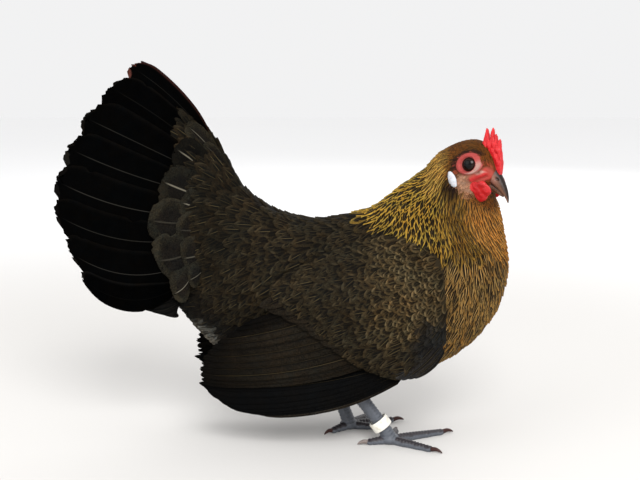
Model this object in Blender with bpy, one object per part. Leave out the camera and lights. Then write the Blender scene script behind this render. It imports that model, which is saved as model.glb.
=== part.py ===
"""A Dutch bantam hen, life size, standing with her tail fanned and her head turned to her right.

Units in the tables are millimetres, and MM turns them into metres. While the hen is modelled, X runs
forward, Y to her left and Z up from the floor, with X = 0 a little behind her feet. The last step
moves everything so that the origin is under the centre of her bounding box.
"""

import math

import bmesh
import bpy
from mathutils import Matrix, Vector
from mathutils.bvhtree import BVHTree

MM = 0.001
GAP = 0.3

# Body: ribs from the root of the tail to the top of the neck. Each rib is a line across the body in
# side view, (top x, top z), (bottom x, bottom z), with its half width and how far down it is widest.
BODY_RIBS = [
    ((-87, 222), (-121, 122), 2.0, 0.5),
    ((-71, 205), (-107, 104), 7.0, 0.5),
    ((-60, 187), (-93, 86), 11.8, 0.5),
    ((-48, 165), (-78, 68), 19.9, 0.5),
    ((-31, 152), (-56, 50), 28.1, 0.5),
    ((-13, 146), (-25, 38), 34.4, 0.52),
    ((3, 145), (8, 34), 37.1, 0.54),
    ((19, 148), (42, 35), 38.0, 0.55),
    ((33, 152), (72, 45), 37.1, 0.55),
    ((45, 160), (98, 61), 33.5, 0.55),
    ((55, 169), (116, 84), 29.0, 0.55),
    ((64, 178), (123, 114), 24.4, 0.55),
    ((70.5, 184.5), (119.5, 137), 21.5, 0.52),
    ((77.6, 188.6), (114, 153), 17.2, 0.5),
    ((89.9, 193.6), (113.2, 157.5), 14.6, 0.5),
    ((101.1, 195.1), (113.6, 160.6), 12.8, 0.5),
    ((109.6, 191.2), (114, 163), 10.9, 0.5),
    ((115.4, 183.7), (114, 164.4), 7.9, 0.5),
    ((118.4, 176.6), (114.3, 165.2), 5.1, 0.5),
]
BODY_RINGS = 44
BODY_SIDES = 20

# Cuts that part the body, as (point x, point z, direction of the cut line in degrees).
TAIL_CUT = (-59.0, 185.0, -108.0)
NECK_CUT = (34.0, 152.0, -30.0)
HEAD_CUT = (69.5, 178.5, -39.0)

# The head turns to the hen's right. The turn grows with the distance above the neck's cut until
# TURN_RISE, and each level turns about its own middle.
HEAD_TURN = math.radians(-45.0)
TURN_RISE = 37.0
TURN_AXIS_X = (74.0, 96.0)

# The middle between the eyes, from which head pieces are measured before the turn.
HEAD_CENTRE = (103.5, 179.5)

UPPER_BEAK_RIBS = [
    ((14.6, -2.6), (8.6, -11.0), 4.9, 0.6),
    ((18.2, -7.6), (12.6, -13.0), 4.1, 0.6),
    ((20.9, -12.6), (16.4, -15.4), 3.1, 0.65),
    ((22.6, -17.2), (19.8, -18.4), 2.0, 0.6),
    ((23.3, -21.0), (21.7, -21.4), 0.95, 0.5),
    ((23.2, -23.2), (22.7, -23.3), 0.35, 0.5),
]
LOWER_BEAK_RIBS = [
    ((8.2, -11.6), (7.8, -16.0), 4.3, 0.4),
    ((12.4, -13.6), (12.0, -17.0), 3.4, 0.4),
    ((16.2, -16.0), (15.8, -18.6), 2.3, 0.4),
    ((19.3, -18.7), (19.0, -19.9), 1.0, 0.4),
]
NOSTRIL_AT, NOSTRIL_SIZE = (16.2, 4.2, -8.6), (1.5, 0.7, 0.9)
NOSTRIL_LEAN = math.radians(38.0)

EYE_RADIUS = 5.6
EYE_AT = (0.0, 8.6, 0.0)
LID_SIZE, LID_THICKNESS = (5.5, 5.0), 1.2
LID_STEPS, LID_SIDES = 16, 6

COMB_OUTLINE = [
    (16.6, -7.4), (17.8, -2.0), (17.7, 3.0), (16.8, 7.6), (16.6, 13.0), (14.2, 11.6), (13.0, 18.0),
    (11.4, 15.0), (10.4, 22.4), (7.9, 16.4), (5.4, 21.8), (3.4, 14.8), (0.2, 16.4),
    (-1.6, 12.6), (3.8, 1.9), (10.6, -7.0),
]
COMB_THICKNESS = 2.6

# A wattle is a few soft folds, each (forward, up, (half length, half thickness, half height), lean in
# degrees). The first is set on the skin, and the others lie beside it.
WATTLE_FOLDS = [
    (5.6, -17.6, (8.2, 1.8, 6.2), 0.0),
    (0.4, -17.0, (3.6, 2.2, 5.0), -14.0),
    (12.2, -17.0, (4.6, 1.6, 5.0), -24.0),
]
# The turned head lets the near wattle stand out more: (side, splay, how far back it sits).
WATTLES = {
    "wattle_right": (1, math.radians(20.0), 0.0),
    "wattle_left": (-1, math.radians(4.0), 5.0),
}
EARLOBE_AT = (-7.6, -9.6)
EARLOBE_SIZE = (3.7, 2.0, 5.6)
EARLOBE_LEAN = math.radians(-28.0)

# Legs. Each foot: where its toes meet, and each toe's heading in degrees from straight ahead
# (positive to the hen's left), its length without the claw, and the claw's length.
SHANK_RADII = (5.2, 4.4)
SHANK_FOOT_HEIGHT = 5.1
TOE_RADIUS, TOE_TIP_RADIUS = 2.9, 2.0
TOE_SHARES = (0.0, 0.3, 0.65, 1.0)
CLAW_RADII = (1.45, 1.25, 0.85, 0.3)
CLAW_SHARES, CLAW_LIFTS = (0.0, 0.4, 0.75, 1.0), (0.0, 0.5, -0.1, -1.1)
PAD_SIZE, PAD_HEIGHT = (6.2, 5.8, 3.6), 3.0
# A round toe is pressed flat where it meets the floor: its middle is this share of its radius up.
SOLE_SHARE = 0.86
FEET = {
    "right": {
        "root": (45.0, -22.0),
        "hock": (21.0, -19.5, 37.0),
        "toes": [("inner", 76.0, 20.0, 6.0), ("middle", 26.0, 40.0, 8.0), ("outer", -33.0, 30.0, 7.5),
                 ("hind", 191.0, 14.0, 7.0)],
    },
    "left": {
        "root": (19.5, 8.0),
        "hock": (6.0, 14.0, 37.0),
        "toes": [("inner", -8.0, 18.0, 6.0), ("middle", 23.0, 33.0, 8.0), ("outer", 58.0, 26.0, 7.0),
                 ("hind", 222.0, 15.0, 7.0)],
    },
}
THIGH_RADII = (17.0, 8.5)
THIGH_TOP = {"right": (18.0, -21.0, 74.0), "left": (4.0, 20.0, 74.0)}
BAND_RADIUS, BAND_WALL, BAND_WIDTH, BAND_PLACE = 6.5, 0.9, 6.5, 0.75
BAND_STEPS = 24

# Feathers. A fan is a row of overlapping vanes: where its shafts start and end in side view from the
# first to the last, how far the middle of each bends aside (positive is to the left of its way), its
# half width as a share of the spacing, and how far it lies outside the sheet it is laid on.
VANE_THICKNESS = 0.5
VANE_STEP = 1.0
VANE_STATIONS = [(0.0, 0.55), (0.22, 0.8), (0.5, 1.0), (0.78, 1.0), (0.91, 0.8), (0.97, 0.5), (1.0, 0.2)]
ROOT_SINK, ROOT_SHARE = 2.6, 0.4

PRIMARIES = {
    "count": 5,
    "roots": [(50, 46), (56, 54), (62, 62)],
    "tips": [(-38, 23.0), (-58, 27.5), (-74, 41)],
    "bend": [6.0, 7.5, 8.0],
    "half": 1.25, "layer": 1.5, "sink": 0.0,
}
SECONDARIES = {
    "count": 8,
    "roots": [(44, 65), (32, 79), (19, 92), (2, 104)],
    "tips": [(-74, 45), (-75, 57), (-66, 70), (-48, 83)],
    "bend": [7.0, 6.0, 3.5, 2.0],
    "half": 0.85, "layer": 4.1, "sink": 0.0,
}
GREATER_COVERTS = {
    "count": 8,
    "roots": [(58, 71), (38, 81), (16, 98), (-8, 110)],
    "tips": [(30, 56), (8, 67), (-12, 82), (-36, 94)],
    "bend": [1.5, 1.0, 1.0, 1.0],
    "half": 0.8, "layer": 6.4, "sink": 1.0,
}
MEDIAN_COVERTS = {
    "count": 7,
    "roots": [(66, 80), (49, 88), (28, 103), (5, 118)],
    "tips": [(43, 66), (26, 74), (5, 90), (-21, 105)],
    "bend": [1.0, 1.0, 1.0, 1.0],
    "half": 0.8, "layer": 8.5, "sink": ROOT_SINK,
}
LEADING_FEATHERS = {
    "count": 4,
    "roots": [(77, 66), (74, 73), (66, 79)],
    "tips": [(58, 49), (47, 49), (42, 61)],
    "bend": [1.5, 1.0, 0.5],
    "half": 0.75, "layer": 4.1, "sink": 0.0,
}
WING_FANS = [PRIMARIES, SECONDARIES, GREATER_COVERTS, MEDIAN_COVERTS, LEADING_FEATHERS]
WING_CORE = [
    (79, 70), (78, 100), (75, 120), (62, 132), (42, 136), (20, 131), (-4, 120), (-20, 110), (-10, 100),
    (6, 90), (18, 78), (28, 68), (38, 59), (48, 53), (58, 52), (70, 60),
]
WING_CORE_HEIGHT = 9.4
WING_CORE_WAY = (0.62, 0.78)
WING_CORE_SPAN = (75.0, 66.0)
WING_CORE_STEP = 11.0
WING_SPREAD = (39.5, 10.0, 86.0)
WING_BLEND = 3.0
FAR_OUT = 200.0
WING_FALL = {"front": 0.0010, "back": 0.0008, "below": 0.0010, "above": 0.0075}
LEFT_WING_REACH = 1.07
WING_HINGE_X = 70.0

# The tail is a tent: on each side a sheet that opens downward and backward from its ridge.
TAIL_PIVOT = (-50.0, 140.0)
TAIL_ANGLES = (122.0, 196.0)
TAIL_SHEET = (0.6, 17.0, 112.0)
RECTRICES = {
    "count": 8,
    "roots": [(-64, 184), (-69, 166), (-75, 138), (-84, 106)],
    "tips": [(-120, 241), (-153, 203), (-168.5, 156), (-151, 107)],
    "bend": [-5.0, 1.0, 9.0, 13.0],
    "half": 0.72, "layer": 1.2, "sink": 0.0,
}
TAIL_COVERTS = {
    "count": 6,
    "roots": [(-63, 178), (-68, 160), (-74, 138), (-82, 112)],
    "tips": [(-85, 204), (-98, 176), (-110, 136), (-94, 97)],
    "bend": [-2.0, 0.0, 2.0, 3.0],
    "half": 0.7, "layer": 3.5, "sink": 1.0,
}
UNDER_TAIL_COVERTS = {
    "count": 3,
    "roots": [(-86, 96), (-89, 92), (-91, 87)],
    "tips": [(-126, 92), (-113, 87), (-99, 83)],
    "bend": [4.0, 3.0, 2.0],
    "half": 0.9, "layer": -1.2, "sink": 0.0,
}
TAIL_FANS = [RECTRICES, TAIL_COVERTS, UNDER_TAIL_COVERTS]

RED = ("comb_skin", (0.62, 0.03, 0.03), 0.45)
PALE = ("earlobe_skin", (0.85, 0.87, 0.88), 0.5)
HORN = ("horn", (0.13, 0.11, 0.10), 0.35)
SCALE = ("leg_scale", (0.13, 0.14, 0.16), 0.5)
GOLD = ("hackle_plumage", (0.35, 0.22, 0.06), 0.7)
BROWN = ("body_plumage", (0.10, 0.08, 0.05), 0.75)
BLACK = ("tail_plumage", (0.012, 0.012, 0.014), 0.6)
FACE = ("face_skin", (0.50, 0.16, 0.12), 0.6)
EYE = ("eye", (0.02, 0.012, 0.01), 0.08)
BAND = ("leg_band", (0.85, 0.84, 0.74), 0.35)


def clear_scene():
    for old in list(bpy.data.objects):
        bpy.data.objects.remove(old)


def material(kind):
    name, colour, roughness = kind
    made = bpy.data.materials.get(name)
    if made is None:
        made = bpy.data.materials.new(name)
        made.use_nodes = True
        shader = made.node_tree.nodes["Principled BSDF"]
        shader.inputs["Base Color"].default_value = (*colour, 1.0)
        shader.inputs["Roughness"].default_value = roughness
    return made


def new_object(name, mesh, kind, collection):
    made = bpy.data.objects.new(name, mesh)
    collection.objects.link(made)
    mesh.materials.clear()
    mesh.materials.append(material(kind))
    return made


def from_bmesh(name, bm, kind, collection):
    """An object in metres from a bmesh in millimetres, with its faces pointing out."""
    bmesh.ops.recalc_face_normals(bm, faces=bm.faces)
    bmesh.ops.triangulate(bm, faces=[f for f in bm.faces if len(f.verts) > 4])
    bmesh.ops.scale(bm, vec=(MM, MM, MM), verts=bm.verts)
    mesh = bpy.data.meshes.new(name)
    bm.to_mesh(mesh)
    bm.free()
    mesh.shade_smooth()
    mesh.set_sharp_from_angle(angle=math.radians(40))
    return new_object(name, mesh, kind, collection)


def catmull_rom(rows, at):
    """A smooth value at 0 to 1 along rows of numbers."""
    place = max(0.0, min(1.0, at)) * (len(rows) - 1)
    i = min(int(place), len(rows) - 2)
    t = place - i
    a, b = rows[max(i - 1, 0)], rows[i]
    c, d = rows[i + 1], rows[min(i + 2, len(rows) - 1)]
    return [
        0.5 * (2 * q + (r - p) * t + (2 * p - 5 * q + 4 * r - s) * t * t + (3 * q - p - 3 * r + s) * t**3)
        for p, q, r, s in zip(a, b, c, d)
    ]


def rib_ring(rib, sides, grow=0.0):
    """The closed section on one rib: an egg, widest at the rib's own height."""
    top_x, top_z, bottom_x, bottom_z, half_width, widest = rib
    top, bottom = Vector((top_x, 0, top_z)), Vector((bottom_x, 0, bottom_z))
    along = (bottom - top).normalized()
    top, bottom = top - along * grow, bottom + along * grow
    ring = []
    for k in range(sides):
        angle = 2 * math.pi * k / sides
        down = -math.cos(angle)
        share = widest + down * (1 - widest if down > 0 else widest)
        ring.append(top.lerp(bottom, share) + Vector((0, (half_width + grow) * math.sin(angle), 0)))
    return ring


def loft(ribs, rings, sides, grow=0.0):
    """A closed bmesh through the ribs, with a point at the middle of each end."""
    rows = [[*top, *bottom, width, widest] for top, bottom, width, widest in ribs]
    bm = bmesh.new()
    made = [
        [bm.verts.new(p) for p in rib_ring(catmull_rom(rows, i / (rings - 1)), sides, grow)]
        for i in range(rings)
    ]
    for near, far in zip(made, made[1:]):
        for k in range(sides):
            after = (k + 1) % sides
            bm.faces.new((near[k], near[after], far[k]))
            bm.faces.new((near[after], far[after], far[k]))
    for ring, inner in ((made[0], made[1]), (made[-1], made[-2])):
        middle = sum((v.co for v in ring), Vector()) / sides
        ahead = (middle - sum((v.co for v in inner), Vector()) / sides).normalized() * grow
        for v in ring:
            v.co += ahead
        middle = bm.verts.new(middle + ahead)
        for k in range(sides):
            bm.faces.new((ring[k], ring[(k + 1) % sides], middle))
    bmesh.ops.recalc_face_normals(bm, faces=bm.faces)
    return bm


def cut(bm, point, normal):
    """Keeps what lies against normal, and closes the cut."""
    bmesh.ops.bisect_plane(
        bm, geom=[*bm.verts, *bm.edges, *bm.faces], plane_co=point, plane_no=normal, clear_outer=True
    )
    rim = [e for e in bm.edges if e.is_boundary]
    bmesh.ops.holes_fill(bm, edges=rim, sides=0)


def plane_of(line):
    """A point on a cut and its normal in side view."""
    x, z, heading = line
    way = math.radians(heading)
    return Vector((x, 0, z)), Vector((-math.sin(way), 0, math.cos(way)))


def smooth_step(t):
    t = max(0.0, min(1.0, t))
    return t * t * (3 - 2 * t)


def turned(p):
    """Where a point of the straight neck or head goes when the hen looks to her right."""
    point, normal = plane_of(NECK_CUT)
    share = smooth_step((p - point).dot(normal) / TURN_RISE)
    axis = Vector((TURN_AXIS_X[0] + (TURN_AXIS_X[1] - TURN_AXIS_X[0]) * share**0.5, 0, 0))
    return Matrix.Rotation(HEAD_TURN * share, 3, "Z") @ (p - axis) + axis


def turn(bm):
    for v in bm.verts:
        v.co = turned(v.co)


def turn_head(bm):
    """Head pieces turn stiffly, by the whole angle."""
    axis = Vector((TURN_AXIS_X[1], 0, 0))
    spin = Matrix.Translation(axis) @ Matrix.Rotation(HEAD_TURN, 4, "Z") @ Matrix.Translation(-axis)
    bm.transform(spin)


def head_point(forward, right, up):
    """A point from head measures, before the turn. Right is the hen's right side."""
    return Vector((HEAD_CENTRE[0] + forward, -right, HEAD_CENTRE[1] + up))


def head_ribs(ribs):
    cx, cz = HEAD_CENTRE
    return [((a + cx, b + cz), (c + cx, d + cz), width, widest) for (a, b), (c, d), width, widest in ribs]


def carve(target, bm, helpers):
    """Cuts a shape out of the target, and removes the cutter."""
    cutter = from_bmesh("cutter", bm, SCALE, helpers)
    cutter.hide_render = True
    cutter.display_type = "WIRE"
    modifier = target.modifiers.new("cut", "BOOLEAN")
    modifier.operation = "DIFFERENCE"
    modifier.object = cutter
    modifier.solver = "MANIFOLD"
    apply_modifiers(target)
    bpy.data.objects.remove(cutter)


def fuse(obj, pieces):
    """One union of an object with a collection of closed pieces, which are then removed."""
    group = bpy.data.collections.new("pieces")
    for n, bm in enumerate(pieces):
        from_bmesh(f"piece_{n}", bm, BLACK, group)
    modifier = obj.modifiers.new("union", "BOOLEAN")
    modifier.operation = "UNION"
    modifier.operand_type = "COLLECTION"
    modifier.collection = group
    modifier.solver = "MANIFOLD"
    apply_modifiers(obj)
    for piece in list(group.objects):
        bpy.data.objects.remove(piece)
    bpy.data.collections.remove(group)


def apply_modifiers(obj):
    graph = bpy.context.evaluated_depsgraph_get()
    mesh = bpy.data.meshes.new_from_object(obj.evaluated_get(graph))
    obj.modifiers.clear()
    old = obj.data
    obj.data = mesh
    bpy.data.meshes.remove(old)


def keep_shell(obj, score):
    """Drops all closed surfaces of a mesh but the one whose points score highest."""
    bm = bmesh.new()
    bm.from_mesh(obj.data)
    left = dict.fromkeys(bm.verts)
    shells = []
    while left:
        todo = [left.popitem()[0]]
        shell = list(todo)
        while todo:
            for edge in todo.pop().link_edges:
                for v in edge.verts:
                    if v in left:
                        del left[v]
                        shell.append(v)
                        todo.append(v)
        shells.append(shell)
    shells.sort(key=score)
    extra = [v for shell in shells[:-1] for v in shell]
    bmesh.ops.delete(bm, geom=extra, context="VERTS")
    bm.to_mesh(obj.data)
    bm.free()


def keep_largest(obj):
    keep_shell(obj, len)


def keep_lowest(obj):
    keep_shell(obj, lambda shell: -sum(v.co.z for v in shell) / len(shell))


def ball(at, size, turn_by=Matrix.Identity(4), segments=16, rings=10):
    bm = bmesh.new()
    bmesh.ops.create_uvsphere(bm, u_segments=segments, v_segments=rings, radius=1.0)
    bm.transform(Matrix.Translation(at) @ turn_by @ Matrix.Diagonal((*size, 1.0)))
    return bm


def tube(points, radii, sides, first_faces=None, last_faces=None):
    """A closed bmesh round a path. The end faces look along the path, or the way that is given."""
    bm = bmesh.new()
    made = []
    for i, (p, radius) in enumerate(zip(points, radii)):
        ahead = (points[min(i + 1, len(points) - 1)] - points[max(i - 1, 0)]).normalized()
        if i == 0 and first_faces:
            ahead = first_faces
        if i == len(points) - 1 and last_faces:
            ahead = last_faces
        side = ahead.cross(Vector((0, 0, 1)))
        side = side.normalized() if side.length > 1e-3 else Vector((0, 1, 0))
        over = side.cross(ahead)
        made.append([
            bm.verts.new(p + radius * (math.cos(a) * side + math.sin(a) * over))
            for a in (2 * math.pi * (k + 0.5) / sides for k in range(sides))
        ])
    for near, far in zip(made, made[1:]):
        for k in range(sides):
            bm.faces.new((near[k], near[(k + 1) % sides], far[(k + 1) % sides], far[k]))
    for ring in (made[0], made[-1]):
        bm.faces.new(ring)
    bmesh.ops.recalc_face_normals(bm, faces=bm.faces)
    return bm


def body(grow=0.0):
    return loft(BODY_RIBS, BODY_RINGS, BODY_SIDES, grow)


def head_shape(grow=0.0):
    """The head and neck alone, turned."""
    bm = body(grow)
    point, normal = plane_of(NECK_CUT)
    cut(bm, point, -normal)
    turn(bm)
    return bm


def make_torso(parts):
    bm = body()
    point, normal = plane_of(TAIL_CUT)
    cut(bm, point, -normal)
    point, normal = plane_of(NECK_CUT)
    cut(bm, point, normal)
    return from_bmesh("torso", bm, BROWN, parts)


def make_neck(parts):
    bm = body()
    point, normal = plane_of(NECK_CUT)
    cut(bm, point + normal * GAP, -normal)
    point, normal = plane_of(HEAD_CUT)
    cut(bm, point, normal)
    turn(bm)
    return from_bmesh("neck", bm, GOLD, parts)


def skin_point(tree, forward, side, up):
    """The point on the straight head's skin at a place in side view. Side 1 is the hen's right."""
    start = head_point(forward, side * 60.0, up)
    return tree.ray_cast(start, Vector((0, side, 0)))[0]


def closed_rings(bm, rings):
    """Joins rings of points into a closed hoop."""
    count = len(rings[0])
    for i, ring in enumerate(rings):
        after = rings[(i + 1) % len(rings)]
        for j in range(count):
            bm.faces.new((ring[j], ring[(j + 1) % count], after[(j + 1) % count], after[j]))
    bmesh.ops.recalc_face_normals(bm, faces=bm.faces)


def eyelids(tree, side):
    """The raised rim of both lids, a hoop laid on the skin round the eye."""
    bm = bmesh.new()
    rings = []
    for k in range(LID_STEPS):
        a = 2 * math.pi * k / LID_STEPS
        rim = skin_point(tree, LID_SIZE[0] * math.cos(a), side, LID_SIZE[1] * math.sin(a))
        ring = []
        for j in range(LID_SIDES):
            b = 2 * math.pi * j / LID_SIDES
            out = Vector((math.cos(a) * math.cos(b), -side * math.sin(b), math.sin(a) * math.cos(b)))
            ring.append(bm.verts.new(rim + out * LID_THICKNESS))
        rings.append(ring)
    closed_rings(bm, rings)
    turn_head(bm)
    return bm


def eyeball(side, grow=0.0):
    bm = ball(head_point(EYE_AT[0], side * EYE_AT[1], EYE_AT[2]), (EYE_RADIUS + grow,) * 3)
    turn_head(bm)
    return bm


def make_head(parts, helpers, tree):
    bm = body()
    point, normal = plane_of(HEAD_CUT)
    cut(bm, point + normal * GAP, -normal)
    turn(bm)
    head = from_bmesh("head", bm, FACE, parts)
    fuse(head, [eyelids(tree, side) for side in (1, -1)])
    for side in (1, -1):
        carve(head, eyeball(side, GAP), helpers)
    keep_largest(head)


def make_eyes(parts):
    for name, side in (("eye_right", 1), ("eye_left", -1)):
        from_bmesh(name, eyeball(side), EYE, parts)


def head_piece(name, folds, kind, parts, helpers, others=()):
    """A piece of fused folds on the head, cut clear of the head and of others by one gap."""
    piece = from_bmesh(name, folds[0], kind, parts)
    if folds[1:]:
        fuse(piece, folds[1:])
    for other in (head_shape(GAP), *others):
        carve(piece, other, helpers)
    keep_largest(piece)
    return piece


def upper_beak(grow=0.0):
    bm = loft(head_ribs(UPPER_BEAK_RIBS), 12, 12, grow)
    turn_head(bm)
    return bm


def lower_beak(grow=0.0):
    bm = loft(head_ribs(LOWER_BEAK_RIBS), 8, 10, grow)
    turn_head(bm)
    return bm


def make_beak(parts, helpers):
    upper = head_piece("beak_upper", [upper_beak()], HORN, parts, helpers)
    forward, aside, up = NOSTRIL_AT
    for side in (1, -1):
        at = head_point(forward, side * aside, up)
        nostril = ball(at, NOSTRIL_SIZE, Matrix.Rotation(NOSTRIL_LEAN, 4, "Y"), 10, 6)
        turn_head(nostril)
        carve(upper, nostril, helpers)
    keep_largest(upper)
    head_piece("beak_lower", [lower_beak()], HORN, parts, helpers, [upper_beak(GAP)])


def plate(outline, thickness, place):
    """A flat plate from an outline in side view; place(x, z) gives its mid point."""
    bm = bmesh.new()
    layers = []
    for offset in (-thickness / 2, thickness / 2):
        layers.append([bm.verts.new(place(x, z) + Vector((0, offset, 0))) for x, z in outline])
    low, high = layers
    count = len(outline)
    for k in range(count):
        bm.faces.new((low[k], low[(k + 1) % count], high[(k + 1) % count], high[k]))
    for layer in layers:
        face = bm.faces.new(layer)
        bmesh.ops.triangulate(bm, faces=[face])
    bmesh.ops.recalc_face_normals(bm, faces=bm.faces)
    return bm


def make_comb(parts, helpers):
    bm = plate(COMB_OUTLINE, COMB_THICKNESS, lambda x, z: head_point(x, 0, z))
    turn_head(bm)
    head_piece("comb", [bm], RED, parts, helpers, [upper_beak(GAP)])


def make_wattles(parts, helpers, tree):
    forward, up = WATTLE_FOLDS[0][:2]
    for name, (side, splay_angle, back) in WATTLES.items():
        splay = Matrix.Rotation(side * splay_angle, 4, "X")
        middle = skin_point(tree, forward - back, side, up)
        folds = []
        for ahead, height, size, lean in WATTLE_FOLDS:
            beside = splay @ Vector((ahead - forward, 0, height - up))
            bm = ball(middle + beside, size, splay @ Matrix.Rotation(math.radians(lean), 4, "Y"), 16, 10)
            turn_head(bm)
            folds.append(bm)
        head_piece(name, folds, RED, parts, helpers, [upper_beak(GAP), lower_beak(GAP)])


def make_earlobes(parts, helpers, tree):
    for name, side in (("earlobe_right", 1), ("earlobe_left", -1)):
        spin = Matrix.Rotation(EARLOBE_LEAN, 4, "Y")
        at = skin_point(tree, EARLOBE_AT[0], side, EARLOBE_AT[1])
        bm = ball(at, EARLOBE_SIZE, spin, 14, 8)
        turn_head(bm)
        head_piece(name, [bm], PALE, parts, helpers)


def along(points, place):
    """A point on a smooth line through the points, at 0 to 1, carried on straight past its ends."""
    inside = max(0.0, min(1.0, place))
    here = Vector(catmull_rom(points, inside))
    if place == inside:
        return here
    step = 0.02 if inside == 0.0 else -0.02
    return here + (here - Vector(catmull_rom(points, inside + step))) * abs(place - inside) / abs(step)


def shaft_point(fan, index, t):
    """A point in side view on the line that a shaft of this index follows, at t from root to tip."""
    place = index / (fan["count"] - 1)
    root, tip = along(fan["roots"], place), along(fan["tips"], place)
    way = tip - root
    bend = along([(b, 0.0) for b in fan["bend"]], place).x
    aside = Vector((-way.y, way.x)).normalized() * bend
    return root + way * t + aside * 4 * t * (1 - t)


def vane(fan, number, sheet, side):
    """One feather of a fan as a thin closed plate on the sheet, each with its edge over the next."""
    bm = bmesh.new()
    inner, outer = [], []
    for t, width in VANE_STATIONS:
        rows = ([], [])
        for edge in (-1, 1):
            across = edge * fan["half"] * width
            p = shaft_point(fan, number + across, t)
            sunk = fan["sink"] * max(0.0, 1 - t / ROOT_SHARE)
            depth = sheet(p.x, p.y) + fan["layer"] - sunk - VANE_STEP * across
            rows[0].append(bm.verts.new((p.x, side * depth, p.y)))
            rows[1].append(bm.verts.new((p.x, side * (depth + VANE_THICKNESS), p.y)))
        inner.append(rows[0])
        outer.append(rows[1])
    for layer in (inner, outer):
        for near, far in zip(layer, layer[1:]):
            bm.faces.new((near[0], near[1], far[1]))
            bm.faces.new((near[0], far[1], far[0]))
    for k in range(len(inner) - 1):
        for e in (0, 1):
            bm.faces.new((inner[k][e], inner[k + 1][e], outer[k + 1][e], outer[k][e]))
    for k in (0, -1):
        bm.faces.new((inner[k][0], inner[k][1], outer[k][1], outer[k][0]))
    bmesh.ops.recalc_face_normals(bm, faces=bm.faces)
    return bm


def wing_sheet(torso_tree, x, z):
    """How far out the inside of the folded wing lies at a place in side view."""
    hit = torso_tree.ray_cast(Vector((x, FAR_OUT, z)), Vector((0, -1, 0)))[0]
    on_body = abs(hit.y) if hit else 0.0
    widest, middle_x, middle_z = WING_SPREAD
    dx, dz = x - middle_x, z - middle_z
    free = widest - WING_FALL["front" if dx > 0 else "back"] * dx * dx
    free -= WING_FALL["above" if dz > 0 else "below"] * dz * dz
    return math.log(math.exp(on_body / WING_BLEND) + math.exp(free / WING_BLEND)) * WING_BLEND


def core_height(x, z):
    """How thick the wing is over its flesh and small coverts."""
    start, span = WING_CORE_SPAN
    ahead = max(0.0, (x * WING_CORE_WAY[0] + z * WING_CORE_WAY[1] - start) / span)
    return max(1.2, WING_CORE_HEIGHT * (1 - ahead * ahead))


def reached(fan, reach):
    """The fan with its tips carried back, for the wing that she holds a little further out."""
    tips = [(WING_HINGE_X + (x - WING_HINGE_X) * reach, z) for x, z in fan["tips"]]
    return {**fan, "tips": tips}


def make_wings(parts, helpers, torso_tree):
    def sheet(x, z):
        return wing_sheet(torso_tree, x, z)

    for name, side, reach in (("wing_right", -1, 1.0), ("wing_left", 1, LEFT_WING_REACH)):
        wing = from_bmesh(name, draped(WING_CORE, WING_CORE_STEP, sheet, core_height, side), BROWN, parts)
        fans = [reached(fan, reach) for fan in WING_FANS]
        fuse(wing, [vane(fan, n, sheet, side) for fan in fans for n in range(fan["count"])])
        carve(wing, body(GAP), helpers)
        keep_largest(wing)


def draped(outline, step, depth_at, thickness_at, side):
    """A closed sheet over an outline, laid on depth_at(x, z), thinner along its rim."""
    flat = bmesh.new()
    flat.faces.new([flat.verts.new((x, 0, z)) for x, z in outline])
    xs, zs = [x for x, _ in outline], [z for _, z in outline]
    for low, high, axis in ((min(xs), max(xs), Vector((1, 0, 0))), (min(zs), max(zs), Vector((0, 0, 1)))):
        for k in range(1, int((high - low) / step) + 1):
            bmesh.ops.bisect_plane(
                flat, geom=[*flat.verts, *flat.edges, *flat.faces],
                plane_co=axis * (low + k * step), plane_no=axis, dist=0.5,
            )
    bmesh.ops.remove_doubles(flat, verts=flat.verts, dist=1.5)
    bmesh.ops.triangulate(flat, faces=flat.faces)
    rim = {v for e in flat.edges if e.is_boundary for v in e.verts}
    bm = bmesh.new()
    inner, outer = {}, {}
    for v in flat.verts:
        depth = depth_at(v.co.x, v.co.z)
        thick = thickness_at(v.co.x, v.co.z) * (0.4 if v in rim else 1.0)
        inner[v] = bm.verts.new((v.co.x, side * depth, v.co.z))
        outer[v] = bm.verts.new((v.co.x, side * (depth + thick), v.co.z))
    for face in flat.faces:
        bm.faces.new([inner[v] for v in face.verts])
        bm.faces.new([outer[v] for v in reversed(face.verts)])
    for edge in flat.edges:
        if edge.is_boundary:
            a, b = edge.verts
            bm.faces.new((inner[a], inner[b], outer[b], outer[a]))
    flat.free()
    return bm


def tail_sheet(x, z):
    """How far from the middle the tail's side lies: straight lines from its pivot, open below."""
    px, pz = TAIL_PIVOT
    ridge, opening, reach = TAIL_SHEET
    heading = math.degrees(math.atan2(z - pz, x - px)) % 360
    share = (heading - TAIL_ANGLES[0]) / (TAIL_ANGLES[1] - TAIL_ANGLES[0])
    far = min(1.0, math.hypot(x - px, z - pz) / reach)
    return ridge + opening * max(0.0, share) * far


def make_tail(parts, helpers):
    point, normal = plane_of(TAIL_CUT)
    for name, side in (("tail_right", -1), ("tail_left", 1)):
        core = body()
        cut(core, point - normal * GAP, normal)
        cut(core, Vector((0, side * GAP / 2, 0)), Vector((0, -side, 0)))
        tail = from_bmesh(name, core, BLACK, parts)
        fuse(tail, [vane(fan, n, tail_sheet, side) for fan in TAIL_FANS for n in range(fan["count"])])
        stop = bmesh.new()
        bmesh.ops.create_cube(stop, size=2 * FAR_OUT)
        bmesh.ops.recalc_face_normals(stop, faces=stop.faces)
        cut(stop, point - normal * GAP, -normal)
        carve(tail, stop, helpers)
        keep_largest(tail)


def flatten_soles(bm):
    """Presses everything below the floor's level flat on it."""
    for v in bm.verts:
        v.co.z = max(v.co.z, 0.0)


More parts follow.
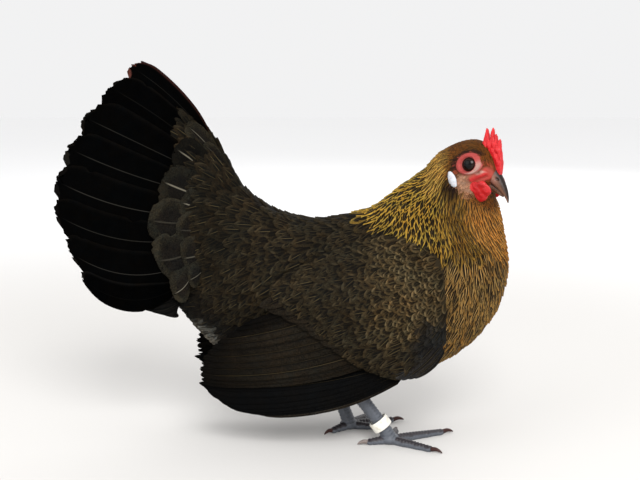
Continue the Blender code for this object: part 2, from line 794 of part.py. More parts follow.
def toe_shape(root, way, length):
    radii = [TOE_RADIUS, TOE_RADIUS, (TOE_RADIUS + TOE_TIP_RADIUS) / 2, TOE_TIP_RADIUS]
    path = [
        root + way * length * share + Vector((0, 0, radius * SOLE_SHARE))
        for share, radius in zip(TOE_SHARES, radii)
    ]
    bm = tube(path, radii, 8, last_faces=way)
    flatten_soles(bm)
    return bm


def shank_ends(foot):
    return Vector(foot["hock"]), Vector((*foot["root"], SHANK_FOOT_HEIGHT))


def thigh_shape(top, hock, leg, grow):
    wide, narrow = THIGH_RADII
    return tube([top, top.lerp(hock, 0.45), hock - leg * 3.0, hock + leg * (1.0 + grow)],
                [wide * 0.8 + grow, wide + grow, narrow + grow, narrow * 0.75 + grow], 14)


def make_legs(parts, helpers):
    for side, foot in FEET.items():
        hock, root = shank_ends(foot)
        way = (root - hock).normalized()
        thigh_top = Vector(THIGH_TOP[side])
        leg = (hock - thigh_top).normalized()
        thigh = from_bmesh(f"thigh_{side}", thigh_shape(thigh_top, hock, leg, 0.0), BROWN, parts)
        carve(thigh, body(GAP), helpers)
        keep_lowest(thigh)
        shank = from_bmesh(f"shank_{side}", shank_shape(hock, root, way, 0.0), SCALE, parts)
        carve(shank, thigh_shape(thigh_top, hock, leg, GAP), helpers)
        carve(shank, body(GAP), helpers)
        keep_lowest(shank)
        make_foot(side, foot, shank_shape(hock, root, way, GAP), parts, helpers)


def shank_shape(hock, root, way, grow):
    wide, narrow = SHANK_RADII
    return tube([hock - way * 3.0, hock.lerp(root, 0.35), hock.lerp(root, 0.75), root + way * grow],
                [wide + grow, narrow + grow, narrow + grow, narrow * 1.05 + grow], 10)


def make_foot(side, foot, shank, parts, helpers):
    """Toes and pad with flat soles, and a socket in which the shank stands with one gap."""
    root = Vector((*foot["root"], 0))
    pad = ball(root + Vector((0, 0, PAD_HEIGHT)), PAD_SIZE, segments=14)
    flatten_soles(pad)
    whole = from_bmesh(f"foot_{side}", pad, SCALE, parts)
    toes = []
    for toe, heading, length, claw in foot["toes"]:
        way = Vector((math.cos(math.radians(heading)), math.sin(math.radians(heading)), 0))
        toes.append(toe_shape(root, way, length))
        make_claw(f"claw_{side}_{toe}", root + way * (length + GAP), way, claw, parts)
    fuse(whole, toes)
    carve(whole, shank, helpers)
    keep_largest(whole)


def make_claw(name, start, way, length, parts):
    """A claw with its base against the toe's end, arched and clear of the floor."""
    base = start + Vector((0, 0, TOE_TIP_RADIUS * SOLE_SHARE + 0.1))
    path = [
        base + way * length * share + Vector((0, 0, lift))
        for share, lift in zip(CLAW_SHARES, CLAW_LIFTS)
    ]
    from_bmesh(name, tube(path, CLAW_RADII, 8, first_faces=way), HORN, parts)


def make_band(parts):
    """The ring on the right shank, loose enough to keep its gap all round."""
    hock, root = shank_ends(FEET["right"])
    middle = hock.lerp(root, BAND_PLACE)
    spin = (root - hock).to_track_quat("Z", "Y").to_matrix()
    inner, half = BAND_RADIUS - BAND_WALL, BAND_WIDTH / 2
    corners = [(BAND_RADIUS, -half), (BAND_RADIUS, half), (inner, half), (inner, -half)]
    bm = bmesh.new()
    rings = []
    for k in range(BAND_STEPS):
        a = 2 * math.pi * k / BAND_STEPS
        rings.append([
            bm.verts.new(middle + spin @ Vector((r * math.cos(a), r * math.sin(a), h)))
            for r, h in corners
        ])
    closed_rings(bm, rings)
    from_bmesh("leg_band", bm, BAND, parts)


def centre_under_box(parts):
    """Moves every mesh so that the origin is on the floor under the middle of the bounding box."""
    corners = [v.co for obj in parts.objects for v in obj.data.vertices]
    low = Vector([min(c[i] for c in corners) for i in range(3)])
    high = Vector([max(c[i] for c in corners) for i in range(3)])
    shift = Vector((-(low.x + high.x) / 2, -(low.y + high.y) / 2, -low.z))
    for obj in parts.objects:
        obj.data.transform(Matrix.Translation(shift))
    print("shift", [round(x / MM, 3) for x in shift], "size", [round(x / MM, 1) for x in high - low])


def main():
    clear_scene()
    parts = bpy.data.collections.new("dutch_bantam_hen")
    helpers = bpy.data.collections.new("helpers")
    helpers.hide_render = True
    for collection in (parts, helpers):
        bpy.context.scene.collection.children.link(collection)
    make_torso(parts)
    tree = BVHTree.FromBMesh(body())
    make_neck(parts)
    make_head(parts, helpers, tree)
    make_eyes(parts)
    make_beak(parts, helpers)
    make_comb(parts, helpers)
    make_wattles(parts, helpers, tree)
    make_earlobes(parts, helpers, tree)
    make_wings(parts, helpers, tree)
    make_tail(parts, helpers)
    make_legs(parts, helpers)
    make_band(parts)
    centre_under_box(parts)


main()
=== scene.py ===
# %% [markdown]
# # A Dutch bantam hen, feather by feather
# The imported solids are the frame. This lesson lays one skin over the flesh, grows a coat of small
# feathers on it, hangs the large feathers of wings and tail, and finishes head and legs. It starts
# with the frame itself.

# %% The frame
import math

import bmesh
import bpy
import numpy as np
from mathutils import Matrix, Vector, noise
from mathutils.bvhtree import BVHTree
from mathutils.kdtree import KDTree


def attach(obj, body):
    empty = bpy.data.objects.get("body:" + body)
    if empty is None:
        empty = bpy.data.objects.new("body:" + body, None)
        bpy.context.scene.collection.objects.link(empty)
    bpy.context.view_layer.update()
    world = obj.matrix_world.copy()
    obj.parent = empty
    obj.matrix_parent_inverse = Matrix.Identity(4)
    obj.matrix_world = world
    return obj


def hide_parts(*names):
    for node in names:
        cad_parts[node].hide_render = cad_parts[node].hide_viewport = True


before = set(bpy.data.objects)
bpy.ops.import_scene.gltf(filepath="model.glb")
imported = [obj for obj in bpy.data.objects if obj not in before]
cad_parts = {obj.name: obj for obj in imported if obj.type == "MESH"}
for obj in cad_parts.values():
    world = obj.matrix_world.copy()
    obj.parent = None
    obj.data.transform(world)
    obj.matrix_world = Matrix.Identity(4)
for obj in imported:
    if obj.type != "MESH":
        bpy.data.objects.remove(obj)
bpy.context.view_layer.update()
MM = 0.001
SHIFT = np.array([22.835, 0.004, 0.0])
print("nodes in the frame:", len(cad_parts))

# %% [markdown]
# ## Camera
# The photograph was taken from a little above the hen's back, about 0.7 m away on her right. A lens
# and a tilt that put her feet, back and comb where the picture has them are worked out from the real
# sizes, so the camera is only a place, a tilt and a focal length. The picture is 640 pixels wide.

# %% Camera
PICTURE_WIDTH, SENSOR_WIDTH = 640.0, 36.0
FOCAL_PIXELS = 1100.0
CAMERA_AT = (0.022835, -0.704, 0.241)
CAMERA_TILT = math.radians(81.0)

camera_data = bpy.data.cameras.new("camera")
camera_data.sensor_width = SENSOR_WIDTH
camera_data.lens = SENSOR_WIDTH * FOCAL_PIXELS / PICTURE_WIDTH
camera_data.clip_start = 0.01
camera = bpy.data.objects.new("camera", camera_data)
camera.location = CAMERA_AT
camera.rotation_euler = (CAMERA_TILT, 0.0, 0.0)
bpy.context.scene.collection.objects.link(camera)
bpy.context.scene.camera = camera
print("focal length, mm:", round(camera_data.lens, 1))

# %% [markdown]
# ## Words for shader maths
# A pattern is easier to read as an expression than as a drawing of nodes. `Wire` wraps a socket, so
# that `1 - mask` or `a * b` adds the Math nodes. `Finish` makes one material, and its `node` method
# makes any other node from its type, its settings and the values or links of its inputs.

# %% Wires and finishes
class Wire:
    """A number in a shader, for use in Python expressions."""

    def __init__(self, finish, socket):
        self.finish, self.socket = finish, socket

    def math(self, operation, other=None, third=None, turned=False):
        values = [self, other] if other is not None else [self]
        if turned:
            values.reverse()
        if third is not None:
            values.append(third)
        inputs = {i: value for i, value in enumerate(values)}
        return self.finish.node("ShaderNodeMath", {"operation": operation}, inputs)

    def __add__(self, other):
        return self.math("ADD", other)

    def __sub__(self, other):
        return self.math("SUBTRACT", other)

    def __rsub__(self, other):
        return self.math("SUBTRACT", other, turned=True)

    def __mul__(self, other):
        return self.math("MULTIPLY", other)

    def __truediv__(self, other):
        return self.math("DIVIDE", other)

    def __pow__(self, other):
        return self.math("POWER", other)

    __radd__, __rmul__ = __add__, __mul__

    def ramp(self, low, high):
        """0 below low, 1 above high, smooth between them. High may be the smaller one."""
        settings = {"interpolation_type": "SMOOTHSTEP"}
        if low > high:
            return 1 - self.ramp(high, low)
        return self.finish.node("ShaderNodeMapRange", settings, {"Value": self, 1: low, 2: high})


class Finish:
    """One material. Its nodes are made by expressions and by the method node."""

    def __init__(self, name, roughness=0.6, **constants):
        self.material = bpy.data.materials.new(name)
        self.material.use_nodes = True
        self.tree = self.material.node_tree
        self.shader = self.tree.nodes["Principled BSDF"]
        self.shader.inputs["Roughness"].default_value = roughness
        for socket, value in constants.items():
            self.shader.inputs[socket.replace("_", " ")].default_value = value

    def node(self, kind, settings=None, inputs=None, output=0):
        made = self.tree.nodes.new(kind)
        for key, value in (settings or {}).items():
            setattr(made, key, value)
        for key, value in (inputs or {}).items():
            self.put(made.inputs[key], value)
        return Wire(self, made.outputs[output])

    def put(self, socket, value):
        if isinstance(value, Wire):
            self.tree.links.new(value.socket, socket)
        elif isinstance(value, tuple) and len(value) == 3 and socket.type == "RGBA":
            socket.default_value = (*value, 1.0)
        else:
            socket.default_value = value

    def mix(self, share, first, second, blend="MIX"):
        settings = {"data_type": "RGBA", "blend_type": blend, "clamp_factor": True}
        return self.node("ShaderNodeMix", settings, {0: share, 6: first, 7: second}, output=2)

    def shade(self, colour, *bright):
        """A colour times one brightness, or times one each for red, green and blue."""
        parts = bright if len(bright) == 3 else bright * 3
        shades = self.node("ShaderNodeCombineXYZ", {}, dict(enumerate(parts)))
        return self.mix(1.0, colour, shades, "MULTIPLY")

    def split(self, vector):
        """The three parts of a vector, each as a wire."""
        made = self.node("ShaderNodeSeparateXYZ", {}, {0: vector}).socket.node
        return [Wire(self, socket) for socket in made.outputs]

    def attribute(self, name, output=0):
        return self.node("ShaderNodeAttribute", {"attribute_name": name}, output=output)

    def object_place(self):
        return self.node("ShaderNodeTexCoord", output=3)

    def noise(self, scale, vector=None, detail=2.0, roughness=0.5, output=0):
        place = vector or self.object_place()
        inputs = {"Vector": place, "Scale": scale, "Detail": detail, "Roughness": roughness}
        return self.node("ShaderNodeTexNoise", {}, inputs, output)

    def cells(self, scale, vector=None, feature="F1"):
        inputs = {"Vector": vector or self.object_place(), "Scale": scale}
        return self.node("ShaderNodeTexVoronoi", {"feature": feature}, inputs)

    def colour(self, value):
        self.put(self.shader.inputs["Base Color"], value)

    def rough(self, value):
        self.put(self.shader.inputs["Roughness"], value)

    def bump(self, height, depth, strength=1.0):
        made = self.node("ShaderNodeBump", {}, {"Height": height, "Distance": depth, "Strength": strength})
        self.put(self.shader.inputs["Normal"], made)


# %% [markdown]
# ## Stage and light
# A plain floor, painted paler with distance as painted light that makes up for the lamps' falloff,
# and a large soft light from the camera's side, as a flash spread over pale surroundings gives. The
# light is on her right and a little ahead. A weaker one behind her and one on the far side give the
# black tail an edge.

# %% Stage and light
# The floor's colour is painted paler with distance: painted light.
FLOOR_SIZE, FLOOR_PAINTED_LIGHT_SPAN = 9.0, (0.35, 1.3)
FLOOR_NEAR, FLOOR_FAR = (0.66, 0.645, 0.625), (0.97, 0.97, 0.97)
SKY_COLOUR, SKY_STRENGTH = (0.985, 0.985, 0.99, 1.0), 0.9
LIGHTS = {
    "key": ((0.25, -1.3, 1.15), 0.8, 24.0),
    "fill": ((-1.2, -0.7, 0.8), 1.2, 6.0),
    "far": ((0.7, 1.3, 1.0), 1.2, 6.0),
}
LIGHT_TARGET = Vector((0.0, 0.0, 0.12))

bpy.ops.mesh.primitive_plane_add(size=FLOOR_SIZE)
floor = bpy.context.object
floor.name = "floor"
floor_finish = Finish("floor_pale", 0.85)
away = floor_finish.node("ShaderNodeVectorMath", {"operation": "LENGTH"},
                         {0: floor_finish.object_place()}, output=1)
floor_finish.colour(floor_finish.mix(away.ramp(*FLOOR_PAINTED_LIGHT_SPAN), FLOOR_NEAR, FLOOR_FAR))
floor.data.materials.append(floor_finish.material)
for light_name, (at, size, power) in LIGHTS.items():
    light_data = bpy.data.lights.new(light_name, "AREA")
    light_data.size, light_data.energy = size, power
    light = bpy.data.objects.new(light_name, light_data)
    light.location = at
    light.rotation_euler = (LIGHT_TARGET - Vector(at)).to_track_quat("-Z", "Y").to_euler()
    bpy.context.scene.collection.objects.link(light)
world = bpy.data.worlds.new("world")
bpy.context.scene.world = world
world.use_nodes = True
sky = world.node_tree.nodes["Background"].inputs
sky["Color"].default_value, sky["Strength"].default_value = SKY_COLOUR, SKY_STRENGTH
bpy.context.scene.view_settings.view_transform = "Standard"
print("floor, m across:", FLOOR_SIZE, "lights:", ", ".join(LIGHTS))

# %% [markdown]
# ## The body's own shape
# The solids were lofted through ribs, lines across the body in side view with a half width. The same
# ribs give the skin, only with many more points. Two numbers place any point on it: the share along
# from tail to beak, and the angle round from the top. They also unwrap the skin and give the lie of
# the feathers, so numpy works out the whole grid at once.

# %% Ribs and the neck's turn
# Each rib: (top x, top z), (bottom x, bottom z), half width, how far down it is widest, in mm.
BODY_RIBS = [
    ((-87, 222), (-121, 122), 2.0, 0.5),
    ((-71, 205), (-107, 104), 7.0, 0.5),
    ((-60, 187), (-93, 86), 11.8, 0.5),
    ((-48, 165), (-78, 68), 19.9, 0.5),
    ((-31, 152), (-56, 50), 28.1, 0.5),
    ((-13, 146), (-25, 38), 34.4, 0.52),
    ((3, 145), (8, 34), 37.1, 0.54),
    ((19, 148), (42, 35), 38.0, 0.55),
    ((33, 152), (72, 45), 37.1, 0.55),
    ((45, 160), (98, 61), 33.5, 0.55),
    ((55, 169), (116, 84), 29.0, 0.55),
    ((64, 178), (123, 114), 24.4, 0.55),
    ((70.5, 184.5), (119.5, 137), 21.5, 0.52),
    ((77.6, 188.6), (114, 153), 17.2, 0.5),
    ((89.9, 193.6), (113.2, 157.5), 14.6, 0.5),
    ((101.1, 195.1), (113.6, 160.6), 12.8, 0.5),
    ((109.6, 191.2), (114, 163), 10.9, 0.5),
    ((115.4, 183.7), (114, 164.4), 7.9, 0.5),
    ((118.4, 176.6), (114.3, 165.2), 5.1, 0.5),
]
NECK_CUT = (34.0, 152.0, -30.0)
HEAD_TURN = math.radians(-45.0)
TURN_RISE = 37.0
TURN_AXIS_X = (74.0, 96.0)
HEAD_CENTRE = (103.5, 179.5)


def smooth(t, low=0.0, high=1.0):
    """0 below low, 1 above high, smooth between; works on arrays. High may be the smaller one."""
    t = np.clip((np.asarray(t, float) - low) / (high - low), 0.0, 1.0)
    return t * t * (3 - 2 * t)


def spline(rows, at):
    """Smooth values at shares 0 to 1 along rows of numbers."""
    rows = np.asarray(rows, float)
    place = np.clip(np.asarray(at, float), 0, 1) * (len(rows) - 1)
    i = np.minimum(place.astype(int), len(rows) - 2)
    t = (place - i)[..., None]
    a, b = rows[np.maximum(i - 1, 0)], rows[i]
    c, d = rows[i + 1], rows[np.minimum(i + 2, len(rows) - 1)]
    square, cube = 2 * a - 5 * b + 4 * c - d, 3 * b - a - 3 * c + d
    return 0.5 * (2 * b + (c - a) * t + square * t**2 + cube * t**3)


def turned(points):
    """Where points of the straight neck and head go when the hen looks to her right."""
    points = np.asarray(points, float)
    cut_x, cut_z, lean = NECK_CUT
    way = math.radians(lean)
    rise = (points[..., 0] - cut_x) * -math.sin(way) + (points[..., 2] - cut_z) * math.cos(way)
    share = smooth(rise / TURN_RISE)
    axis = TURN_AXIS_X[0] + (TURN_AXIS_X[1] - TURN_AXIS_X[0]) * np.sqrt(share)
    angle = HEAD_TURN * share
    x, y = points[..., 0] - axis, points[..., 1]
    turned_x = x * np.cos(angle) - y * np.sin(angle) + axis
    turned_y = x * np.sin(angle) + y * np.cos(angle)
    return np.stack([turned_x, turned_y, points[..., 2]], -1)


def turned_head(points):
    """Where head pieces go: they turn stiffly, by the whole angle."""
    points = np.asarray(points, float)
    x, y = points[..., 0] - TURN_AXIS_X[1], points[..., 1]
    c, s = math.cos(HEAD_TURN), math.sin(HEAD_TURN)
    return np.stack([x * c - y * s + TURN_AXIS_X[1], x * s + y * c, points[..., 2]], -1)


def in_metres(points):
    return (np.asarray(points, float) + SHIFT) * MM


def rib_points(ribs, along, around):
    """Points of a loft through ribs, for shares along and angles round from the top."""
    rib = spline([[*top, *bottom, width, widest] for top, bottom, width, widest in ribs], along)
    down = -np.cos(around)
    widest = rib[..., 5]
    share = widest + down * np.where(down > 0, 1 - widest, widest)
    x = rib[..., 0] + (rib[..., 2] - rib[..., 0]) * share
    z = rib[..., 1] + (rib[..., 3] - rib[..., 1]) * share
    return np.stack([x, rib[..., 4] * np.sin(around), z], -1)


def straight_body(along, around):
    """Points of the body before neck and head are turned."""
    return rib_points(BODY_RIBS, along, around)


def unit(vectors):
    return vectors / np.maximum(np.linalg.norm(vectors, axis=-1, keepdims=True), 1e-9)


print("ribs from tail to beak:", len(BODY_RIBS))

# %% [markdown]
# ## The skin's grid
# Head and face need points half a millimetre apart, the belly four times fewer, so the rings are
# spaced by a table. Each point then learns its normal, the way its feathers lie, which is towards
# the tail and tipped down on the sides, and how deep under the coat it lies.

# %% The skin's grid
RINGS_BY_PART = [(0.0, 0.22, 34), (0.22, 0.62, 70), (0.62, 0.72, 40), (0.72, 1.0, 120)]
SKIN_SIDES = 144
STEP_ALONG, STEP_AROUND = 0.002, 0.01

stations = np.concatenate([np.linspace(a, b, n, endpoint=False) for a, b, n in RINGS_BY_PART] + [[1.0]])
angles = np.linspace(0, 2 * math.pi, SKIN_SIDES, endpoint=False)
ALONG, AROUND = np.meshgrid(stations, angles, indexing="ij")
FROM_TOP = np.degrees(np.minimum(AROUND, 2 * math.pi - AROUND))
straight = straight_body(ALONG, AROUND)
full_size = turned(straight)
step_along = turned(straight_body(np.minimum(ALONG + STEP_ALONG, 1), AROUND)) - turned(
    straight_body(np.maximum(ALONG - STEP_ALONG, 0), AROUND)
)
step_around = turned(straight_body(ALONG, AROUND + STEP_AROUND)) - turned(
    straight_body(ALONG, AROUND - STEP_AROUND)
)
outward = unit(np.cross(step_along, step_around))
middle_of_ring = full_size.mean(1, keepdims=True)
outward *= np.sign((outward * (full_size - middle_of_ring)).sum(-1, keepdims=True))
forward, up = straight[..., 0] - HEAD_CENTRE[0], straight[..., 2] - HEAD_CENTRE[1]
print("points on the body's skin:", ALONG.size)

# %% [markdown]
# ## Where each plumage lies
# A Dutch bantam in partridge colour has no sharp borders: every feather has an edge colour, a middle
# colour, a pale shaft and sometimes a rim, and these drift from tract to tract. A table names the
# tracts. Masks on the skin's own two numbers lay one tract over the other, so skin and feathers share
# the same markings by construction.

# %% Tracts and colours
def rgb(red, green, blue):
    """A colour as light, from the 0 to 255 numbers of a paint chart."""
    shares = [c / 255 for c in (red, green, blue)]
    return tuple(c / 12.92 if c < 0.04 else ((c + 0.055) / 1.055) ** 2.4 for c in shares)


# Tract: edge, middle, (stripe, shaft, rim), feather (width, length, lift) with lengths in mm.
PLUMAGE = {
    "back": (rgb(31, 26, 17), rgb(14, 12, 9), (0.5, 0.36, 0.55), (7.0, 16.0, 1.0)),
    "saddle": (rgb(23, 19, 12), rgb(11, 10, 7), (0.45, 0.32, 0.5), (7.0, 18.0, 1.0)),
    "cape": (rgb(150, 120, 48), rgb(11, 8, 5), (0.56, 0.2, 0.1), (4.6, 14.0, 1.0)),
    "neck": (rgb(112, 82, 32), rgb(26, 18, 9), (0.45, 0.4, 0.1), (2.6, 9.5, 0.8)),
    "throat": (rgb(154, 105, 48), rgb(42, 25, 11), (0.4, 0.5, 0.1), (2.6, 8.5, 0.8)),
    "breast": (rgb(116, 89, 48), rgb(15, 11, 7), (0.5, 1.3, 0.2), (5.8, 15.0, 1.1)),
    "flank": (rgb(28, 23, 14), rgb(13, 11, 8), (0.45, 0.3, 0.4), (6.5, 15.0, 1.0)),
    "belly": (rgb(56, 43, 27), rgb(32, 25, 17), (0.3, 0.3, 0.2), (5.0, 12.0, 1.0)),
    "vent": (rgb(16, 14, 11), rgb(9, 8, 7), (0.3, 0.2, 0.2), (6.0, 15.0, 1.0)),
    "fluff": (rgb(88, 82, 72), rgb(48, 44, 38), (0.3, 0.1, 0.1), (4.0, 15.0, 1.2)),
    "nape": (rgb(160, 126, 60), rgb(80, 56, 26), (0.45, 0.3, 0.1), (2.2, 8.0, 0.8)),
    "crown": (rgb(98, 58, 21), rgb(10, 6, 4), (0.34, 0.2, 0.0), (1.5, 4.6, 0.5)),
    "jaw": (rgb(160, 118, 92), rgb(128, 84, 64), (0.2, 0.1, 0.0), (1.0, 2.4, 0.35)),
    "ear": (rgb(34, 19, 12), rgb(14, 8, 6), (0.4, 0.1, 0.0), (1.6, 5.0, 0.6)),
    "brow": (rgb(44, 27, 17), rgb(20, 13, 10), (0.4, 0.1, 0.0), (1.2, 3.0, 0.4)),
    "face": (rgb(158, 66, 56), rgb(158, 66, 56), (0.0, 0.0, 0.0), (0.9, 1.8, 0.2)),
    "fold": (rgb(166, 40, 38), rgb(166, 40, 38), (0.0, 0.0, 0.0), (0.9, 1.8, 0.2)),
    "pale": (rgb(172, 134, 122), rgb(172, 134, 122), (0.0, 0.0, 0.0), (0.9, 1.8, 0.2)),
    "shoulder": (rgb(57, 47, 30), rgb(27, 22, 14), (0.5, 0.5, 0.9), (7.0, 11.0, 1.0)),
    "wrist": (rgb(25, 24, 22), rgb(14, 14, 13), (0.4, 0.3, 0.2), (6.0, 12.0, 1.0)),
}
# The lower edge of the neck's cape, as angles from the top and shares along.
CAPE_EDGE = ((0, 18, 46, 65, 74, 84, 100, 125, 180),
             (0.43, 0.443, 0.484, 0.514, 0.529, 0.548, 0.58, 0.615, 0.63))
CAPE_BLEND = 0.012
# Where the other tracts begin and end: shares along, then degrees from the top.
SPANS_ALONG = {
    "head": (0.70, 0.755), "breast": (0.40, 0.46), "belly": (0.47, 0.38), "vent": (0.30, 0.22),
    "saddle": (0.26, 0.16), "neck": (0.60, 0.70), "throat": (0.60, 0.64), "lobe": (0.64, 0.70),
}
SPANS_AROUND = {
    "breast": (74, 92), "belly": (118, 145), "vent": (98, 122), "fluff": (124, 138),
    "saddle": (110, 90), "neck": (62, 92), "throat": (112, 140), "flank": (88, 108),
}
FLUFF_MIDDLE, FLUFF_SPAN = 0.215, (0.05, 0.02)
# Patches on the side of the head: place from the eye, half sizes in mm, and softness.
EYE_RING_AT, EYE_RING_SIZE = (1.0, 0.7), (8.4, 6.9)
PATCHES = {
    "ring": (EYE_RING_AT, EYE_RING_SIZE, 0.12), "pale": ((8.6, -4.6), (2.6, 1.5), 0.4),
    "lores": ((11.5, -5.5), (3.0, 4.6), 0.4), "cheek": ((7.5, -8.5), (5.5, 3.6), 0.3),
    "lobe": ((-9.5, -14.5), (7.0, 7.0), 0.35), "nape": ((-22.0, -1.0), (9.5, 11.0), 0.45),
    "jaw": ((1.0, -11.0), (7.5, 6.0), 0.4),
}
BROW_RING, BROW_SPAN, BROW_RISE, BROW_SLOPE = 1.14, (0.2, 0.08), (-3.0, 2.0), 0.5


def tract_row(name):
    return np.concatenate([np.ravel(part) for part in PLUMAGE[name]])


def painted(layers, shape):
    """Tracts laid over each other, each with its mask. Gives 12 numbers for each point."""
    value = np.broadcast_to(tract_row(layers[0][0]), (*shape, 12)).copy()
    for name, mask in layers[1:]:
        value += (tract_row(name) - value) * mask[..., None]
    return value


def near(forward, up, at, size, soft):
    """1 inside an ellipse on the side of the head, 0 outside."""
    away = np.hypot((forward - at[0]) / size[0], (up - at[1]) / size[1])
    return smooth(away, 1 + soft, 1 - soft)


def from_line(forward, up, start, end):
    """How far points on the side of the head lie from a short line."""
    way = np.subtract(end, start)
    share = ((forward - start[0]) * way[0] + (up - start[1]) * way[1]) / (way @ way)
    share = np.clip(share, 0, 1)
    return np.hypot(forward - start[0] - way[0] * share, up - start[1] - way[1] * share)


# Folds: start, end, width, height, and how red.
FACE_FOLDS = [((3.6, -9.4), (10.8, -5.4), 1.9, 0.9, 1.0), ((8.0, -11.0), (12.5, -8.0), 1.4, 0.6, 0.4),
              ((-4.0, -8.2), (2.6, -8.4), 1.3, 0.3, 0.3), ((10.6, -2.5), (12.6, -7.0), 1.2, 0.4, 0.4)]
along_span = {name: smooth(ALONG, *span) for name, span in SPANS_ALONG.items()}
around_span = {name: smooth(FROM_TOP, *span) for name, span in SPANS_AROUND.items()}
patch = {name: near(forward, up, *row) for name, row in PATCHES.items()}
cape_edge = np.interp(FROM_TOP, *CAPE_EDGE)
on_head = along_span["head"]
on_cape = smooth(ALONG, cape_edge, cape_edge + CAPE_BLEND)
on_breast = around_span["breast"] * along_span["breast"] * (1 - on_cape)
on_belly = around_span["belly"] * along_span["belly"]
on_vent = around_span["vent"] * along_span["vent"]
on_fluff = around_span["fluff"] * smooth(np.abs(ALONG - FLUFF_MIDDLE), *FLUFF_SPAN)
on_saddle = along_span["saddle"] * around_span["saddle"]
high_neck = np.maximum(along_span["neck"], around_span["neck"]) * on_cape
on_throat = around_span["throat"] * along_span["throat"]
bare_face = np.maximum(np.maximum(patch["lores"], patch["ring"]), patch["cheek"]) * on_head
lobe_patch = patch["lobe"] * along_span["lobe"]
from_ring = np.hypot((forward - EYE_RING_AT[0]) / EYE_RING_SIZE[0], (up - EYE_RING_AT[1]) / EYE_RING_SIZE[1])
brow_line = smooth(np.abs(from_ring - BROW_RING), *BROW_SPAN)
brow_line = brow_line * smooth(up - BROW_SLOPE * forward, *BROW_RISE) * on_head
red_fold = np.max([smooth(from_line(forward, up, start, end), width, width * 0.3) * red
                   for start, end, width, _, red in FACE_FOLDS], 0)
tracts = painted(
    [
        ("back", None), ("saddle", on_saddle), ("flank", around_span["flank"] * (1 - on_cape)),
        ("belly", on_belly), ("vent", on_vent), ("fluff", on_fluff), ("breast", on_breast),
        ("cape", on_cape), ("neck", high_neck), ("throat", on_throat), ("crown", on_head),
        ("nape", patch["nape"] * on_cape), ("ear", lobe_patch), ("jaw", patch["jaw"] * on_head),
        ("brow", brow_line), ("face", bare_face), ("pale", patch["pale"] * bare_face),
        ("fold", red_fold * bare_face),
    ],
    ALONG.shape,
)
bare = np.clip(bare_face, 0, 1)
print("share of the skin under each mask:", {n: round(float(m.mean()), 3) for n, m in
      {"cape": on_cape, "breast": on_breast, "belly": on_belly, "face": bare}.items()})

# %% [markdown]
# ## The skin under the feathers
# The skin is the same loft drawn in by the coat's depth: two millimetres on the body, less on the
# head, and nothing on the bare face, which shows folds of its own. Where the eye sits, the skin dips
# into the eyeball, so that eye and lids meet with no gap.

# %% Depth, lie of the feathers, and the face's folds
EYE_AT, EYE_RADIUS = (0.0, 8.6, 0.0), 5.6
EYE_DIP_AT, EYE_DIP_EDGE, EYE_DIP = (0.9, 0.3), (6.0, 5.0), 2.6
COAT_DEPTH, HEAD_BLEND, THIN_PART = {"body": 2.0, "head": 0.7, "face": 0.1}, (0.66, 0.74), 9.0
# How far the feathers' lie tips down, as a share of their lie towards the tail.
DROOP = {"all": 0.35, "breast": 0.5, "belly": 0.25, "side": 0.75, "head": 0.1, "lobe": 0.5}
DROOP_SIDE_SPAN, RUMP_SPAN, HEAD_SHARE = (25, 70), (0.14, 0.04), 0.7

depth = COAT_DEPTH["body"] + (COAT_DEPTH["head"] - COAT_DEPTH["body"]) * smooth(ALONG, *HEAD_BLEND)
depth += (COAT_DEPTH["face"] - depth) * bare
for start, end, width, height, _ in FACE_FOLDS:
    depth -= height * smooth(from_line(forward, up, start, end), width, 0.0) * on_head
from_eye = np.hypot(forward - EYE_DIP_AT[0], up - EYE_DIP_AT[1])
depth += EYE_DIP * (smooth(from_eye, *EYE_DIP_EDGE) * on_head)
thin = np.abs(straight[..., 1]).max(1, keepdims=True)
skin_points = full_size - outward * (depth * smooth(thin, 0.0, THIN_PART))[..., None]
droop = DROOP["all"] + DROOP["breast"] * on_breast - DROOP["belly"] * on_belly
droop += DROOP["side"] * smooth(FROM_TOP, *DROOP_SIDE_SPAN) * (1 - on_cape) * (1 - on_breast)
droop *= 1 - 0.6 * smooth(ALONG, *RUMP_SPAN)
droop = np.where(ALONG > HEAD_SHARE, DROOP["head"], droop)
flow = -unit(step_along) + droop[..., None] * np.array([0, 0, -1.0])
flow[..., 2] -= DROOP["lobe"] * lobe_patch
flow = unit(flow)
print("skin lies in by", round(float(depth.min()), 2), "to", round(float(depth.max()), 2), "mm")

# %% [markdown]
# ## Meshes from arrays
# The arrays now become a mesh. Tints, marks and sizes ride on its points as named values, which the
# coat and the finishes read later. Rings of quads closed by a fan at each end make any loft, and the
# same ring numbers unwrap it.

# %% Meshes from arrays
def set_values(mesh, values):
    """Named values for a mesh's points, one or three numbers each."""
    for key, array in values.items():
        array = np.asarray(array, np.float32)
        kind, field = ("FLOAT", "value") if array.size == len(mesh.vertices) else ("FLOAT_VECTOR", "vector")
        mesh.attributes.new(key, kind, "POINT").data.foreach_set(field, array.ravel())


def new_mesh(name, points, faces, values=None, maps=None):
    """A mesh in metres. Values are per point; maps are pairs of numbers per face corner."""
    mesh = bpy.data.meshes.new(name)
    mesh.from_pydata(in_metres(points).reshape(-1, 3).tolist(), [], faces)
    set_values(mesh, values or {})
    for key, array in (maps or {}).items():
        mesh.uv_layers.new(name=key).data.foreach_set("uv", np.asarray(array, np.float32).ravel())
    mesh.shade_smooth()
    return mesh


def new_piece(name, mesh, finish=None):
    made = bpy.data.objects.new(name, mesh)
    bpy.context.scene.collection.objects.link(made)
    if finish:
        mesh.materials.clear()
        mesh.materials.append(finish.material)
    return made


def face_outward(mesh):
    bm = bmesh.new()
    bm.from_mesh(mesh)
    bmesh.ops.recalc_face_normals(bm, faces=bm.faces)
    bm.to_mesh(mesh)
    bm.free()


